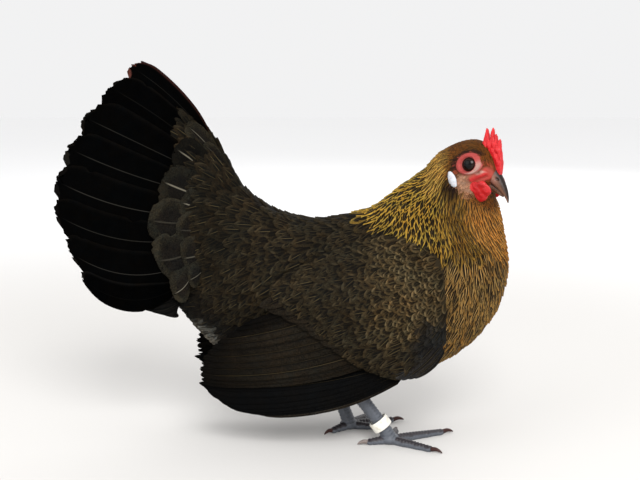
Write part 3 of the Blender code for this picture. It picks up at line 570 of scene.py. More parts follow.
def ring_faces(rings, sides):
    """Quads between rings, then a fan on each end. The two poles come after the rings' points."""
    faces = []
    for i in range(rings - 1):
        for k in range(sides):
            a, b = i * sides + k, i * sides + (k + 1) % sides
            faces.append((a, b, b + sides, a + sides))
    low, last = rings * sides, (rings - 1) * sides
    faces += [(low, (k + 1) % sides, k) for k in range(sides)]
    faces += [(low + 1, last + k, last + (k + 1) % sides) for k in range(sides)]
    return faces


def loop_faces(rings, sides):
    """Quads between rings whose last one meets the first, as on a hoop."""
    return [(i * sides + k, i * sides + (k + 1) % sides, ((i + 1) % rings) * sides + (k + 1) % sides,
             ((i + 1) % rings) * sides + k) for i in range(rings) for k in range(sides)]


def ring_map(rings, sides):
    """An unwrap of the faces of ring_faces, over the whole of the map."""
    k = np.arange(sides)
    rows = []
    for i in range(rings - 1):
        low, high = i / (rings - 1), (i + 1) / (rings - 1)
        rows.append([(k, low), (k + 1, low), (k + 1, high), (k, high)])
    rows += [[(k + a, level) for a in order] for level, order in ((0.0, (0.5, 1, 0)), (1.0, (0.5, 0, 1)))]
    corners = [[np.stack([a / sides, np.full(sides, b)], -1) for a, b in row] for row in rows]
    return np.concatenate([np.stack(row, 1).reshape(-1, 2) for row in corners])


def with_poles(grid):
    """Points or values of rings as a list, with the mean of each end ring added."""
    flat = grid.reshape(-1, grid.shape[-1]) if grid.ndim == 3 else grid.reshape(-1, 1)
    ends = np.stack([np.atleast_1d(grid[0].mean(0)), np.atleast_1d(grid[-1].mean(0))])
    return np.concatenate([flat, ends])


def coat_values(tracts, flow, covers):
    values = {
        "tint": tracts[..., 0:3], "core": tracts[..., 3:6], "marks": tracts[..., 6:9],
        "size": tracts[..., 9:12], "flow": flow,
    }
    values.update(covers)
    return {key: with_poles(array) for key, array in values.items()}


BACK_SPAN, BREAST_SPAN, FACE_SPAN, HEAD_COAT_SPAN = (125, 105), (0.6, 0.4), (0.25, 0.6), (0.72, 0.74)
off_breast = smooth(on_breast, *BREAST_SPAN)
head_coat = smooth(ALONG, *HEAD_COAT_SPAN)
body_covers = {
    "cover_back": (1 - on_cape) * smooth(FROM_TOP, *BACK_SPAN) * off_breast,
    "cover_cape": on_cape * (1 - head_coat) * (1 - bare),
    "cover_breast": (1 - on_cape) * smooth(on_breast, *BREAST_SPAN[::-1]),
    "cover_under": (1 - on_cape) * smooth(FROM_TOP, *BACK_SPAN[::-1]) * off_breast,
    "cover_head": head_coat * (1 - smooth(bare, *FACE_SPAN)),
    "bare": bare,
}
body_values = coat_values(tracts, flow, body_covers)
body_faces = ring_faces(len(stations), SKIN_SIDES)
body_ground = new_mesh(
    "body_ground", with_poles(skin_points), body_faces, body_values,
    {"unwrap": ring_map(len(stations), SKIN_SIDES)},
)
face_outward(body_ground)
print("body skin:", len(body_ground.vertices), "points")

# %% [markdown]
# ## One small feather, and the coat that repeats it
# A contour feather is a thin leaf, wide in its outer half, hollow side down. Three leaves are enough:
# a rounded one, a pointed one for cape and breast, and a small one with few faces for the head.

# %% Three leaves
LEAF_FACES, TINY_LEAF_FACES = (7, 4), (3, 2)
LEAF_RISE, LEAF_HOLLOW, LEAF_ROOT_DEPTH = 0.9, 0.28, 0.06


def rounded(t):
    return (0.42 + 0.58 * smooth(t, 0.0, 0.45)) * np.sqrt(1 - np.clip((t - 0.6) / 0.41, 0, 1) ** 2)


def pointed(t):
    return (0.5 + 0.5 * smooth(t, 0.0, 0.35)) * (1 - smooth(t, 0.45, 1.05) * 0.98)


def leaf(name, width, rows, columns):
    """A leaf 1 m long along Y and 1 m wide, with its root at the origin and its rise as a value."""
    t = np.linspace(0, 1, rows + 1) ** 0.85
    across = np.linspace(-1, 1, columns + 1)
    T, C = np.meshgrid(t, across, indexing="ij")
    points = np.stack([C * width(T) * 0.5, T, T * 0], -1).reshape(-1, 3)
    rise = LEAF_RISE * T**0.9 - LEAF_HOLLOW * C**2 * (0.3 + T) - LEAF_ROOT_DEPTH
    faces, corners = [], []
    for i in range(rows):
        for k in range(columns):
            a = i * (columns + 1) + k
            faces.append((a, a + 1, a + columns + 2, a + columns + 1))
            quad = ((i, k), (i, k + 1), (i + 1, k + 1), (i + 1, k))
            corners += [(across[column] * 0.5 + 0.5, t[row]) for row, column in quad]
    mesh = bpy.data.meshes.new(name)
    mesh.from_pydata(points.tolist(), [], faces)
    set_values(mesh, {"rise": rise})
    mesh.uv_layers.new(name="vane").data.foreach_set("uv", np.array(corners, np.float32).ravel())
    return new_piece(name, mesh)


LEAVES = {
    "round": leaf("leaf_round", rounded, *LEAF_FACES), "point": leaf("leaf_point", pointed, *LEAF_FACES),
    "tiny": leaf("leaf_tiny", rounded, *TINY_LEAF_FACES),
}
print("faces of a leaf:", {name: len(made.data.polygons) for name, made in LEAVES.items()})

# %% [markdown]
# ## The coat that repeats them
# One Geometry Nodes tree sets the leaves on a skin: points no nearer than a spacing, turned to the lie
# of the feathers, sized by the tract. Then each leaf is laid down on the skin, its root in it and its
# tip raised by the coat's depth, like a shingle. Its place on the skin's map becomes its own small
# island in the map OFBake.

# %% The coat's tree
class Grower:
    """Adds nodes to a geometry tree, each from its type, settings and inputs."""

    def __init__(self, name, inputs):
        self.tree = bpy.data.node_groups.new(name, "GeometryNodeTree")
        for title, kind in inputs.items():
            self.tree.interface.new_socket(title, in_out="INPUT", socket_type=kind)
        self.tree.interface.new_socket("Geometry", in_out="OUTPUT", socket_type="NodeSocketGeometry")
        self.given = self.tree.nodes.new("NodeGroupInput").outputs

    def add(self, kind, settings=None, **inputs):
        made = self.tree.nodes.new(kind)
        for key, value in (settings or {}).items():
            setattr(made, key, value)
        for key, value in inputs.items():
            name = key.replace("_", " ")
            usable = [s for s in made.inputs if s.enabled and s.name == name]
            socket = usable[0] if usable else made.inputs[int(key[1:])]
            if isinstance(value, bpy.types.NodeSocket):
                self.tree.links.new(value, socket)
            else:
                socket.default_value = value
        return [s for s in made.outputs if s.enabled]

    def named(self, kind, name):
        return self.add("GeometryNodeInputNamedAttribute", {"data_type": kind}, Name=name)[0]

    def vector(self, operation, first, second):
        return self.add("ShaderNodeVectorMath", {"operation": operation}, i0=first, i1=second)[0]

    def times(self, first, second):
        return self.add("ShaderNodeMath", {"operation": "MULTIPLY"}, i0=first, i1=second)[0]

    def scaled(self, vector, by):
        return self.add("ShaderNodeVectorMath", {"operation": "SCALE"}, i0=vector, Scale=by)[0]

    def random(self, low, high, seed):
        return self.add("FunctionNodeRandomValue", {"data_type": "FLOAT"}, Min=low, Max=high, Seed=seed)[0]

    def store(self, geometry, kind, domain, name, value):
        settings = {"data_type": kind, "domain": domain}
        return self.add("GeometryNodeStoreNamedAttribute", settings, Geometry=geometry, Name=name,
                        Value=value)[0]


LEAF_ISLAND = 0.003
TRIES_PER_SPACING = 4.0
SIZE_SPREAD, LIFT_LEAST, LIFT_LUCK = (0.7, 1.2), 0.8, 0.35
g = Grower("coat", {
    "Geometry": "NodeSocketGeometry", "Leaf": "NodeSocketObject", "Spacing": "NodeSocketFloat",
    "Crowd": "NodeSocketFloat", "Lift": "NodeSocketFloat", "Turn": "NodeSocketFloat",
    "Seed": "NodeSocketInt", "Cover": "NodeSocketString", "Finish": "NodeSocketMaterial",
})
ground, given = g.given["Geometry"], g.given
cover = g.named("FLOAT", given["Cover"])
scattered = g.add(
    "GeometryNodeDistributePointsOnFaces", {"distribute_method": "POISSON"}, Mesh=ground,
    Distance_Min=given["Spacing"], Density_Max=given["Crowd"], Density_Factor=cover, Seed=given["Seed"],
)
dots, dot_normal = scattered[0], scattered[1]
aimed = g.add("FunctionNodeAlignRotationToVector", {"axis": "Z"}, Vector=dot_normal)[0]
aimed = g.add("FunctionNodeAlignRotationToVector", {"axis": "Y", "pivot_axis": "Z"},
              Rotation=aimed, Vector=g.named("FLOAT_VECTOR", "flow"))[0]
swing = g.times(g.random(-1.0, 1.0, 11), given["Turn"])
swing = g.add("ShaderNodeCombineXYZ", Z=swing)[0]
aimed = g.add("FunctionNodeRotateRotation", {"rotation_space": "LOCAL"}, Rotation=aimed, Rotate_By=swing)[0]
dots = g.store(dots, "FLOAT", "POINT", "luck", g.random(0.0, 1.0, 5))
grown = g.random(*SIZE_SPREAD, 7)
size = g.scaled(g.vector("MULTIPLY", g.named("FLOAT_VECTOR", "size"), (MM, MM, 0.0)), grown)
leaf_shape = g.add("GeometryNodeObjectInfo", Object=given["Leaf"])[-1]
coat = g.add("GeometryNodeInstanceOnPoints", Points=dots, Instance=leaf_shape, Rotation=aimed, Scale=size)[0]
coat = g.add("GeometryNodeRealizeInstances", Geometry=coat)[0]
place = g.add("GeometryNodeInputPosition")[0]
nearest = g.add("GeometryNodeProximity", {"target_element": "FACES"}, Geometry=ground,
                Sample_Position=place)[0]
skin_normal = g.add("GeometryNodeInputNormal")[0]
upward = g.add("GeometryNodeSampleNearestSurface", {"data_type": "FLOAT_VECTOR"},
               Mesh=ground, Value=skin_normal, Sample_Position=place)[0]
high = g.add("ShaderNodeSeparateXYZ", Vector=g.named("FLOAT_VECTOR", "size"))[2]
high = g.times(g.times(high, given["Lift"]), g.named("FLOAT", "rise"))
odd = g.add("ShaderNodeMath", {"operation": "MULTIPLY_ADD"}, i0=g.named("FLOAT", "luck"),
            i1=LIFT_LUCK, i2=LIFT_LEAST)[0]
raised = g.scaled(upward, g.times(high, odd))
coat = g.add("GeometryNodeSetPosition", Geometry=coat, Position=g.vector("ADD", nearest, raised))[0]
inside_leaf = g.scaled(g.vector("SUBTRACT", g.named("FLOAT_VECTOR", "vane"), (0.5, 0.5, 0.0)), LEAF_ISLAND)
spot = g.vector("ADD", g.named("FLOAT_VECTOR", "unwrap"), inside_leaf)
coat = g.store(coat, "FLOAT2", "CORNER", "OFBake", spot)
coat = g.add("GeometryNodeSetShadeSmooth", Geometry=coat)[0]
coat = g.add("GeometryNodeSetMaterial", Geometry=coat, Material=given["Finish"])[0]
g.tree.links.new(coat, g.tree.nodes.new("NodeGroupOutput").inputs["Geometry"])
COAT_TREE = g.tree
print("nodes in the coat's tree:", len(COAT_TREE.nodes))


def grow_coat(name, ground_mesh, cover, leaf_name, spacing, lift, finish, turn, seed):
    """Small feathers on a skin, as one plain mesh. Spacing and lift are in mm."""
    helper = new_piece(name + "_ground", ground_mesh)
    modifier = helper.modifiers.new("coat", "NODES")
    modifier.node_group = COAT_TREE
    values = {"Leaf": LEAVES[leaf_name], "Spacing": spacing * MM, "Lift": lift * MM, "Turn": turn,
              "Crowd": TRIES_PER_SPACING / (spacing * MM) ** 2, "Seed": seed, "Cover": cover,
              "Finish": finish.material}
    for item in COAT_TREE.interface.items_tree:
        if item.name in values:
            modifier[item.identifier] = values[item.name]
    graph = bpy.context.evaluated_depsgraph_get()
    mesh = bpy.data.meshes.new_from_object(helper.evaluated_get(graph))
    helper.modifiers.clear()
    bpy.data.objects.remove(helper)
    for key in [a.name for a in mesh.attributes]:
        if key in ("flow", "size", "unwrap", "rise", "bare") or key.startswith("cover_"):
            mesh.attributes.remove(mesh.attributes[key])
    print(name, "triangles:", sum(len(p.vertices) - 2 for p in mesh.polygons))
    return new_piece(name, mesh)


# %% [markdown]
# ## How a feather is coloured
# Seen close, a vane is fine barbs slanting from a pale shaft. On a partridge hen the middle is dark,
# the edge golden or brown, and the whole is dusted with fine pepper. All of it comes from the leaf's
# own map, across and along, and from the values that the skin handed on.

# %% Feather finishes
def feather_finish(name, roughness=0.65, barbs=34.0, pepper=0.35, gloss=0.03, shaft_width=0.035, tip=0.7,
                   shaft_colour=rgb(104, 90, 60)):
    f = Finish(name, roughness, Specular_IOR_Level=gloss)
    sideways, along, _ = f.split(f.attribute("vane", 1))
    signed = sideways * 2 - 1
    across = signed.math("ABSOLUTE")
    stripe, shaft, rim = f.split(f.attribute("marks", 1))
    luck = f.attribute("luck", 2)
    to_edge = across + along.ramp(tip, 1.0) * 0.9
    middle = 1 - (to_edge - stripe).ramp(-0.16, 0.16)
    colour = f.mix(middle, f.attribute("tint", 1), f.attribute("core", 1))
    fine = f.noise(1500.0, detail=1.0) * 2 - 1
    coarse = f.noise(160.0, detail=1.0) * 2 - 1
    one_side = (signed * (luck - 0.5)).ramp(-0.12, 0.16)
    worn = (luck * 7.31).math("FRACT")
    edge_light = (to_edge - 0.89).ramp(-0.06, 0.06) * rim * (0.1 + one_side * 1.7) * (0.3 + worn * 1.3)
    bright = 1 + fine * pepper * 1.6 + coarse * 0.35 + (luck - 0.5) * 0.4 + edge_light * 0.9
    bright = bright * (0.62 + 0.38 * along.ramp(0.1, 0.6))
    warm = f.noise(420.0, detail=1.0) * 2 - 1 + (f.noise(75.0, detail=1.0) * 2 - 1) * 1.2
    colour = f.shade(colour, bright * (1 + warm * 0.18), bright, bright * (1 - warm * 0.18))
    line = (1 - across.ramp(shaft_width * 0.4, shaft_width * 1.6)) * (1 - along.ramp(0.8, 0.97)) * shaft
    line = line * (0.15 + luck * luck * 1.5)
    colour = f.mix(line, colour, shaft_colour)
    f.colour(colour)
    wave = ((along - across * 0.3) * (barbs * 2 * math.pi)).math("SINE")
    f.bump(wave * 0.5 + fine * 0.4, 0.05 * MM, 0.6)
    return f


def skin_finish(name):
    """The skin: feather colours darkened as painted shade where feathers cover it, and bare skin's grain on
    the face.
    """
    f = Finish(name, Specular_IOR_Level=0.12)
    bare = f.attribute("bare", 2)
    under = f.mix(0.3, f.attribute("tint", 1), f.attribute("core", 1))
    f.rough(0.92 - bare * 0.37)
    fine, coarse = f.noise(1400.0), f.noise(220.0) * 2 - 1
    # Under the feathers the colour is darkened to about half, as painted shade in the gaps between them.
    bright = (0.45 + fine * 0.3) * (1 - bare) + bare * (0.95 + coarse * 0.25 + (f.noise(800.0) - 0.5) * 0.3)
    f.colour(f.shade(under, bright))
    pores = f.cells(1500.0, feature="SMOOTH_F1")
    f.bump(pores * bare + coarse * bare * 0.6, 0.25 * MM, 0.7)
    return f


plumage = feather_finish("plumage", pepper=0.6)
golden = feather_finish("golden_plumage", 0.6, barbs=24.0, pepper=0.15, gloss=0.05, tip=0.82,
                        shaft_colour=rgb(168, 140, 92))
breast_plumage = feather_finish("breast_plumage", 0.6, barbs=24.0, pepper=0.2, gloss=0.05, shaft_width=0.07,
                                tip=0.8, shaft_colour=rgb(160, 128, 78))
downy = feather_finish("downy_plumage", 0.75, barbs=20.0, pepper=0.2)
wing_plumage = feather_finish("wing_plumage", 0.55, barbs=60.0, pepper=1.0, shaft_width=0.03)
covert_plumage = feather_finish("covert_plumage", 0.6, barbs=50.0, pepper=1.1, gloss=0.03, shaft_width=0.03,
                                shaft_colour=rgb(104, 99, 86))
black_plumage = feather_finish("black_plumage", 0.6, barbs=90.0, pepper=0.2, gloss=0.0, shaft_width=0.016,
                               tip=0.95, shaft_colour=rgb(58, 56, 51))
skin = skin_finish("skin")
print("finishes so far:", len(bpy.data.materials))

# %% [markdown]
# ## The body's coat
# Five tracts, each with its own spacing: broad rounded feathers on back and underside, pointed ones on
# cape and breast, and the smallest on the head.

# %% Coats of body, neck and head
# Coat: where it grows, leaf, spacing and lift in mm, finish, how far feathers turn, seed.
BODY_COATS = {
    "coat_back": ("cover_back", "round", 3.2, 2.5, plumage, 0.2, 3),
    "coat_cape": ("cover_cape", "point", 2.1, 2.3, golden, 0.08, 4),
    "coat_breast": ("cover_breast", "point", 2.7, 2.4, breast_plumage, 0.2, 8),
    "coat_under": ("cover_under", "round", 2.9, 2.3, plumage, 0.22, 5),
    "coat_head": ("cover_head", "tiny", 0.8, 1.1, golden, 0.25, 6),
}
coats = {coat_name: grow_coat(coat_name, body_ground, *row) for coat_name, row in BODY_COATS.items()}

# %% [markdown]
# ## Wings: a skin, small coverts, and five fans of large feathers
# A folded wing is a fan closed on itself: each flight feather starts at the hand or the arm and slides
# under the next. The fans are the solids' own, given by where their shafts start and end and how they
# bend, but with more and finer feathers. Each vane is a closed thin leaf with a raised shaft.

# %% Fans
# Roots, tips and bend run from the fan's first feather to its last, in mm in side view. Half is a
# vane's half width as a share of the way to the next shaft, layer how far out of the sheet the fan
# lies, and sink how far its roots go in.
PRIMARIES = {
    "count": 5, "roots": [(50, 46), (56, 54), (62, 62)], "tips": [(-38, 23.0), (-58, 27.5), (-74, 41)],
    "bend": [6.0, 7.5, 8.0], "half": 1.25, "layer": 1.5, "sink": 0.0,
}
SECONDARIES = {
    "count": 8, "roots": [(44, 65), (32, 79), (19, 92), (2, 104)],
    "tips": [(-74, 45), (-75, 57), (-66, 70), (-48, 83)],
    "bend": [7.0, 6.0, 3.5, 2.0], "half": 0.85, "layer": 4.1, "sink": 0.0,
}
GREATER_COVERTS = {
    "count": 8, "roots": [(58, 71), (38, 81), (16, 98), (-8, 110)],
    "tips": [(30, 56), (8, 67), (-12, 82), (-36, 94)],
    "bend": [1.5, 1.0, 1.0, 1.0], "half": 0.8, "layer": 6.4, "sink": 1.0,
}
MEDIAN_COVERTS = {
    "count": 7, "roots": [(66, 80), (49, 88), (28, 103), (5, 118)],
    "tips": [(43, 66), (26, 74), (5, 90), (-21, 105)],
    "bend": [1.0, 1.0, 1.0, 1.0], "half": 0.8, "layer": 5.9, "sink": 1.0,
}
LEADING_FEATHERS = {
    "count": 4, "roots": [(77, 66), (74, 73), (66, 79)], "tips": [(58, 49), (47, 49), (42, 61)],
    "bend": [1.5, 1.0, 0.5], "half": 0.75, "layer": 7.2, "sink": 3.0,
}
RECTRICES = {
    "count": 8, "roots": [(-64, 184), (-69, 166), (-75, 138), (-84, 106)],
    "tips": [(-120, 241), (-153, 203), (-168.5, 156), (-151, 107)],
    "bend": [-5.0, 1.0, 9.0, 13.0], "half": 0.72, "layer": 1.2, "sink": 0.0,
}
TAIL_COVERTS = {
    "count": 6, "roots": [(-63, 178), (-68, 160), (-74, 138), (-82, 112)],
    "tips": [(-85, 204), (-98, 176), (-110, 136), (-94, 97)],
    "bend": [-2.0, 0.0, 2.0, 3.0], "half": 0.7, "layer": 3.5, "sink": 1.0,
}
SHORT_TAIL_COVERTS = {
    "count": 6, "roots": [(-57, 172), (-61, 158), (-66, 138), (-73, 114)],
    "tips": [(-74, 192), (-84, 171), (-92, 138), (-84, 106)],
    "bend": [-1.0, 0.0, 1.0, 1.0], "half": 0.7, "layer": 4.2, "sink": 1.6,
}
UNDER_TAIL_COVERTS = {
    "count": 3, "roots": [(-86, 96), (-89, 92), (-91, 87)],
    "tips": [(-126, 92), (-113, 87), (-99, 83)],
    "bend": [4.0, 3.0, 2.0], "half": 0.9, "layer": -1.2, "sink": 0.0,
}


def along_line(rows, place):
    """Points on a smooth line at shares that may lie past its ends, where it goes on straight."""
    inside = np.clip(place, 0, 1)
    here = spline(rows, inside)
    back = spline(rows, np.where(place < 0.5, inside + 0.02, inside - 0.02))
    return here + (here - back) * (np.abs(place - inside) / 0.02)[..., None]


def shaft_points(fan, index, t):
    place = index / (fan["count"] - 1)
    root, tip = along_line(fan["roots"], place), along_line(fan["tips"], place)
    way = tip - root
    bend = along_line([(b, 0.0) for b in fan["bend"]], place)[..., :1]
    aside = unit(np.stack([-way[..., 1], way[..., 0]], -1)) * bend
    return root + way * t[..., None] + aside * (4 * t * (1 - t))[..., None]


VANE_ROWS, VANE_THICKNESS, VANE_STEP, ROOT_SHARE = 26, 0.24, 1.0, 0.4
VANE_ACROSS = np.array([-1, -0.82, -0.5, -0.2, -0.025, 0, 0.025, 0.2, 0.5, 0.82, 1])
VANE_RISE = np.array([0, 0, 0, 0, 0, 0.12, 0, 0, 0, 0, 0])
VANE_OVERLAP, VANE_HOLLOW, VANE_CLEAR, MAP_HEIGHT = 1.12, 0.3, 0.25, 0.48
SPLITS, SPLIT_PLACE, SPLIT_DEPTH, SPLIT_WIDTH = 3, (0.3, 0.95), (0.05, 0.22), 0.008
TIP_END, TIP_SHIFT, FRAY_START = 1.004, 0.012, 0.1
LAST_ROW, LAST_WAY = VANE_ROWS - 1, len(VANE_ACROSS) - 1
VANE_QUADS = [((i, k), (i, k + 1), (i + 1, k + 1), (i + 1, k))
              for i in range(LAST_ROW) for k in range(LAST_WAY)]
VANE_RIM = [(i, 0) for i in range(VANE_ROWS)] + [(LAST_ROW, k) for k in range(1, LAST_WAY + 1)]
VANE_RIM += [(i, LAST_WAY) for i in range(LAST_ROW - 1, -1, -1)]
VANE_RIM += [(0, k) for k in range(LAST_WAY - 1, 0, -1)]


def vane_edge(T0, C, tip_start, ragged, rng):
    """Half widths of a vane with a few splits, and its shares along with a frayed tip."""
    taper = np.clip((T0 - tip_start) / (TIP_END - tip_start), 0, 1)
    width = (0.55 + 0.45 * smooth(T0, 0, 0.4)) * np.sqrt(1 - taper**2)
    bites = sum(np.exp(-(((T0 - at) / SPLIT_WIDTH) ** 2)) * rng.uniform(*SPLIT_DEPTH)
                for at in rng.uniform(*SPLIT_PLACE, SPLITS))
    width = width * (1 - bites * (np.abs(C) > 0.9) * (C * rng.choice([-1, 1]) > 0))
    frayed = ragged * rng.normal(size=C.shape) * (T0 > tip_start + FRAY_START)
    return width, np.clip(T0 + frayed + rng.uniform(-TIP_SHIFT, 0.0), 0, 1.0)


def hang(name, fan, count, sheet, side, finish, look, tip_start, seed, ragged=0.012, dark=0.0):
    """The feathers of a fan as one mesh. Look gives (edge, middle, marks) for a share along the fan."""
    rng = np.random.default_rng(seed)
    spread = min(1.0, fan["count"] / count * VANE_OVERLAP)
    margin = fan["half"] * (1 - spread)
    scale = (fan["count"] - 1 + 2 * margin) / (count - 1)
    corners, points, faces, values = [], [], [], []
    T0, C = np.meshgrid(1 - (1 - np.linspace(0, 1, VANE_ROWS)) ** 1.6, VANE_ACROSS, indexing="ij")
    for n in range(count):
        width, T = vane_edge(T0, C, tip_start, ragged, rng)
        across = C * fan["half"] * width * spread
        flat = shaft_points(fan, n * scale - margin + across, T)
        sunk = fan["sink"] * np.clip(1 - T / ROOT_SHARE, 0, 1)
        base = np.array([sheet(x, z) for x, z in flat.reshape(-1, 2)]).reshape(T.shape)
        out = base + fan["layer"] - sunk - VANE_STEP * across
        out = out - VANE_HOLLOW * C**2 * width + VANE_RISE + VANE_CLEAR
        layers = [np.stack([flat[..., 0], side * (out + offset), flat[..., 1]], -1)
                  for offset in (VANE_THICKNESS / 2, -VANE_THICKNESS / 2)]
        ids = n * 2 * T.size + np.arange(2 * T.size).reshape(2, *T.shape)
        points.append(np.stack(layers).reshape(-1, 3))
        tint, core, marks = look(n / (count - 1))
        row = np.repeat(np.concatenate([tint, core, marks, [rng.uniform()]])[None], 2 * T.size, 0)
        row[:, :6] *= (1 - dark * smooth(np.tile(T.ravel(), 2), 0.45, 1.0))[:, None]
        values.append(row)
        strip = (n + 0.5 + 0.45 * C) / count
        quads = [(quad, (ids[layer],) * 4, low) for layer, low in ((0, 0.0), (1, 0.5)) for quad in VANE_QUADS]
        quads += [((a, b, b, a), (ids[0], ids[0], ids[1], ids[1]), 0.0)
                  for a, b in zip(VANE_RIM, VANE_RIM[1:] + VANE_RIM[:1])]
        for quad, on_layers, low in quads:
            faces.append([int(layer[q]) for layer, q in zip(on_layers, quad)])
            corners += [(C[q] * 0.5 + 0.5, T0[q], strip[q], low + MAP_HEIGHT * T0[q]) for q in quad]
    values, corners = np.concatenate(values), np.array(corners)
    keys = {"tint": values[:, 0:3], "core": values[:, 3:6], "marks": values[:, 6:9], "luck": values[:, 9]}
    maps = {"vane": corners[:, :2], "OFBake": corners[:, 2:]}
    return new_piece(name, new_mesh(name, np.concatenate(points), faces, keys, maps), finish)


print("faces of one large feather:", 2 * len(VANE_QUADS) + len(VANE_RIM))


# %% [markdown]
# ## Where the folded wing lies
# The wing lies against the body, and stands free of it where the body curves away. One function gives
# that sheet for any place in side view, as a soft maximum of the two. The fans and the wing's own
# skin, a flat cushion under the small coverts, are laid on it.

# %% Where the folded wing lies
WING_CORE = [
    (79, 70), (78, 100), (75, 120), (62, 132), (42, 136), (20, 131), (-5, 121), (-28, 108), (-25, 97),
    (-9, 86), (5, 74), (17, 63), (31, 55), (46, 50), (58, 51), (70, 60),
]
WING_CORE_HEIGHT, WING_CORE_WAY, WING_CORE_SPAN = 9.4, (0.62, 0.78), (75.0, 66.0)
WING_SPREAD, WING_BLEND = (39.5, 10.0, 86.0), 3.0
WING_FALL = {"front": 0.0010, "back": 0.0008, "below": 0.0010, "above": 0.0075}
LEFT_WING_REACH, WING_HINGE_X, FAR_OUT = 1.07, 70.0, 200.0
WING_MIDDLE, WING_LIE = (45.0, 97.0), (-0.87, 0.0, -0.45)
RIM_LEAST, RIM_LOW, LOW_SPAN, UNDER_SHEET, UNDER_OUTSIDE = 0.1, 0.66, (112, 82), 0.5, 0.4
WRIST_SPANS, SHOULDER_SPANS = ((62, 70), (92, 84)), ((26, 56), (68, 84))

straight_tree = BVHTree.FromPolygons(with_poles(straight).tolist(), body_faces)


def wing_sheet(x, z):
    """How far out the inside of the folded wing lies at a place in side view."""
    hit = straight_tree.ray_cast(Vector((x, FAR_OUT, z)), Vector((0, -1, 0)))[0]
    on_body = abs(hit.y) if hit else 0.0
    widest, middle_x, middle_z = WING_SPREAD
    dx, dz = x - middle_x, z - middle_z
    free = widest - WING_FALL["front" if dx > 0 else "back"] * dx * dx
    free -= WING_FALL["above" if dz > 0 else "below"] * dz * dz
    return math.log(math.exp(on_body / WING_BLEND) + math.exp(free / WING_BLEND)) * WING_BLEND


def core_height(x, z):
    start, span = WING_CORE_SPAN
    ahead = max(0.0, (x * WING_CORE_WAY[0] + z * WING_CORE_WAY[1] - start) / span)
    return max(1.2, WING_CORE_HEIGHT * (1 - ahead * ahead))


def reached(fan, reach):
    return {**fan, "tips": [(WING_HINGE_X + (x - WING_HINGE_X) * reach, z) for x, z in fan["tips"]]}


CORE_RINGS, CORE_SIDES, COVERT_DEPTH = 34, 120, 1.6
q, a = np.meshgrid(np.linspace(0.02, 1.0, CORE_RINGS), np.arange(CORE_SIDES) / CORE_SIDES, indexing="ij")
rim_line = spline(WING_CORE + WING_CORE[:1], a)
core_flat = WING_MIDDLE + (rim_line - WING_MIDDLE) * q[..., None]
core_x, core_z = core_flat[..., 0], core_flat[..., 1]
core_in, core_rise = (np.array([measure(x, z) for x, z in core_flat.reshape(-1, 2)]).reshape(q.shape)
                      for measure in (wing_sheet, core_height))
core_out = core_in + core_rise
low_share = smooth(core_x * WING_CORE_WAY[0] + core_z * WING_CORE_WAY[1], *LOW_SPAN)
rim_share = RIM_LEAST + RIM_LOW * low_share
core_out = core_in + (core_out - core_in) * (rim_share + (1 - rim_share) * (1 - q**5)) - COVERT_DEPTH
at_wrist, at_shoulder = (smooth(core_x, *across) * smooth(core_z, *upright)
                         for across, upright in (WRIST_SPANS, SHOULDER_SPANS))
wing_tracts = painted([("back", None), ("shoulder", at_shoulder), ("wrist", at_wrist)], q.shape)
wing_tracts[..., 9:11] *= (0.98 - 0.2 * at_shoulder)[..., None]


def wing_ground(side):
    """The wing's skin as a closed form: the outer face from the middle to the rim, then the inner."""
    under = np.minimum(core_in - UNDER_SHEET, core_out - UNDER_OUTSIDE)
    outer, inner = (np.stack([core_x, side * out, core_z], -1) for out in (core_out, under))
    shape = np.concatenate([outer, inner[::-1]])
    tracts_both = np.concatenate([wing_tracts, wing_tracts[::-1]])
    lie = np.broadcast_to(unit(np.array(WING_LIE)), shape.shape)
    cover_outside = np.concatenate([np.ones(q.shape), np.zeros(q.shape)])
    covers = {"cover_wing": cover_outside, "bare": np.zeros(cover_outside.shape)}
    rings = ring_faces(len(shape), CORE_SIDES)
    mesh = new_mesh(f"wing_ground_{side}", with_poles(shape), rings, coat_values(tracts_both, lie, covers),
                    {"unwrap": ring_map(len(shape), CORE_SIDES)})
    if mesh.polygons[0].normal.y * side < 0:
        mesh.flip_normals()
    return mesh


print("a wing's skin stands out by up to", round(float(core_out.max()), 1), "mm")


# %% [markdown]
# ## Colours of the large feathers
# Each fan takes its colours from a function of the share along it, so that one feather can differ
# from the next, as the outer primaries and the innermost secondaries do.

# %% Colours of the large feathers
NIGHT, SOOT, SLATE = rgb(6, 6, 6), rgb(13, 11, 9), rgb(30, 29, 28)
UMBER, OLIVE, STRIP, SHADE = rgb(25, 21, 15), rgb(30, 25, 18), rgb(38, 34, 28), rgb(19, 16, 12)


def looks(edge, middle, marks):
    return lambda share: (edge, middle, marks)


def shifted(first, last, marks):
    """Edge and middle colours that drift from the fan's first feather to its last."""
    return lambda share: (
        np.array(first[0]) + (np.array(last[0]) - first[0]) * share,
        np.array(first[1]) + (np.array(last[1]) - first[1]) * share,
        marks,
    )


def primary_look(share):
    """The outermost two show a grey-brown strip; the others are black."""
    return (STRIP, SOOT, (0.5, 0.2, 0.1)) if share < 0.2 else (NIGHT, NIGHT, (0.5, 0.2, 0.1))


def secondary_look(share):
    """Brown peppered vanes; the innermost ones are nearly black."""
    edge, middle, marks = shifted((UMBER, SHADE), (OLIVE, SHADE), (0.3, 0.25, 0.15))(share)
    dim = 1 - 0.75 * smooth(share, 0.7, 0.95)
    return edge * dim, middle * dim, marks


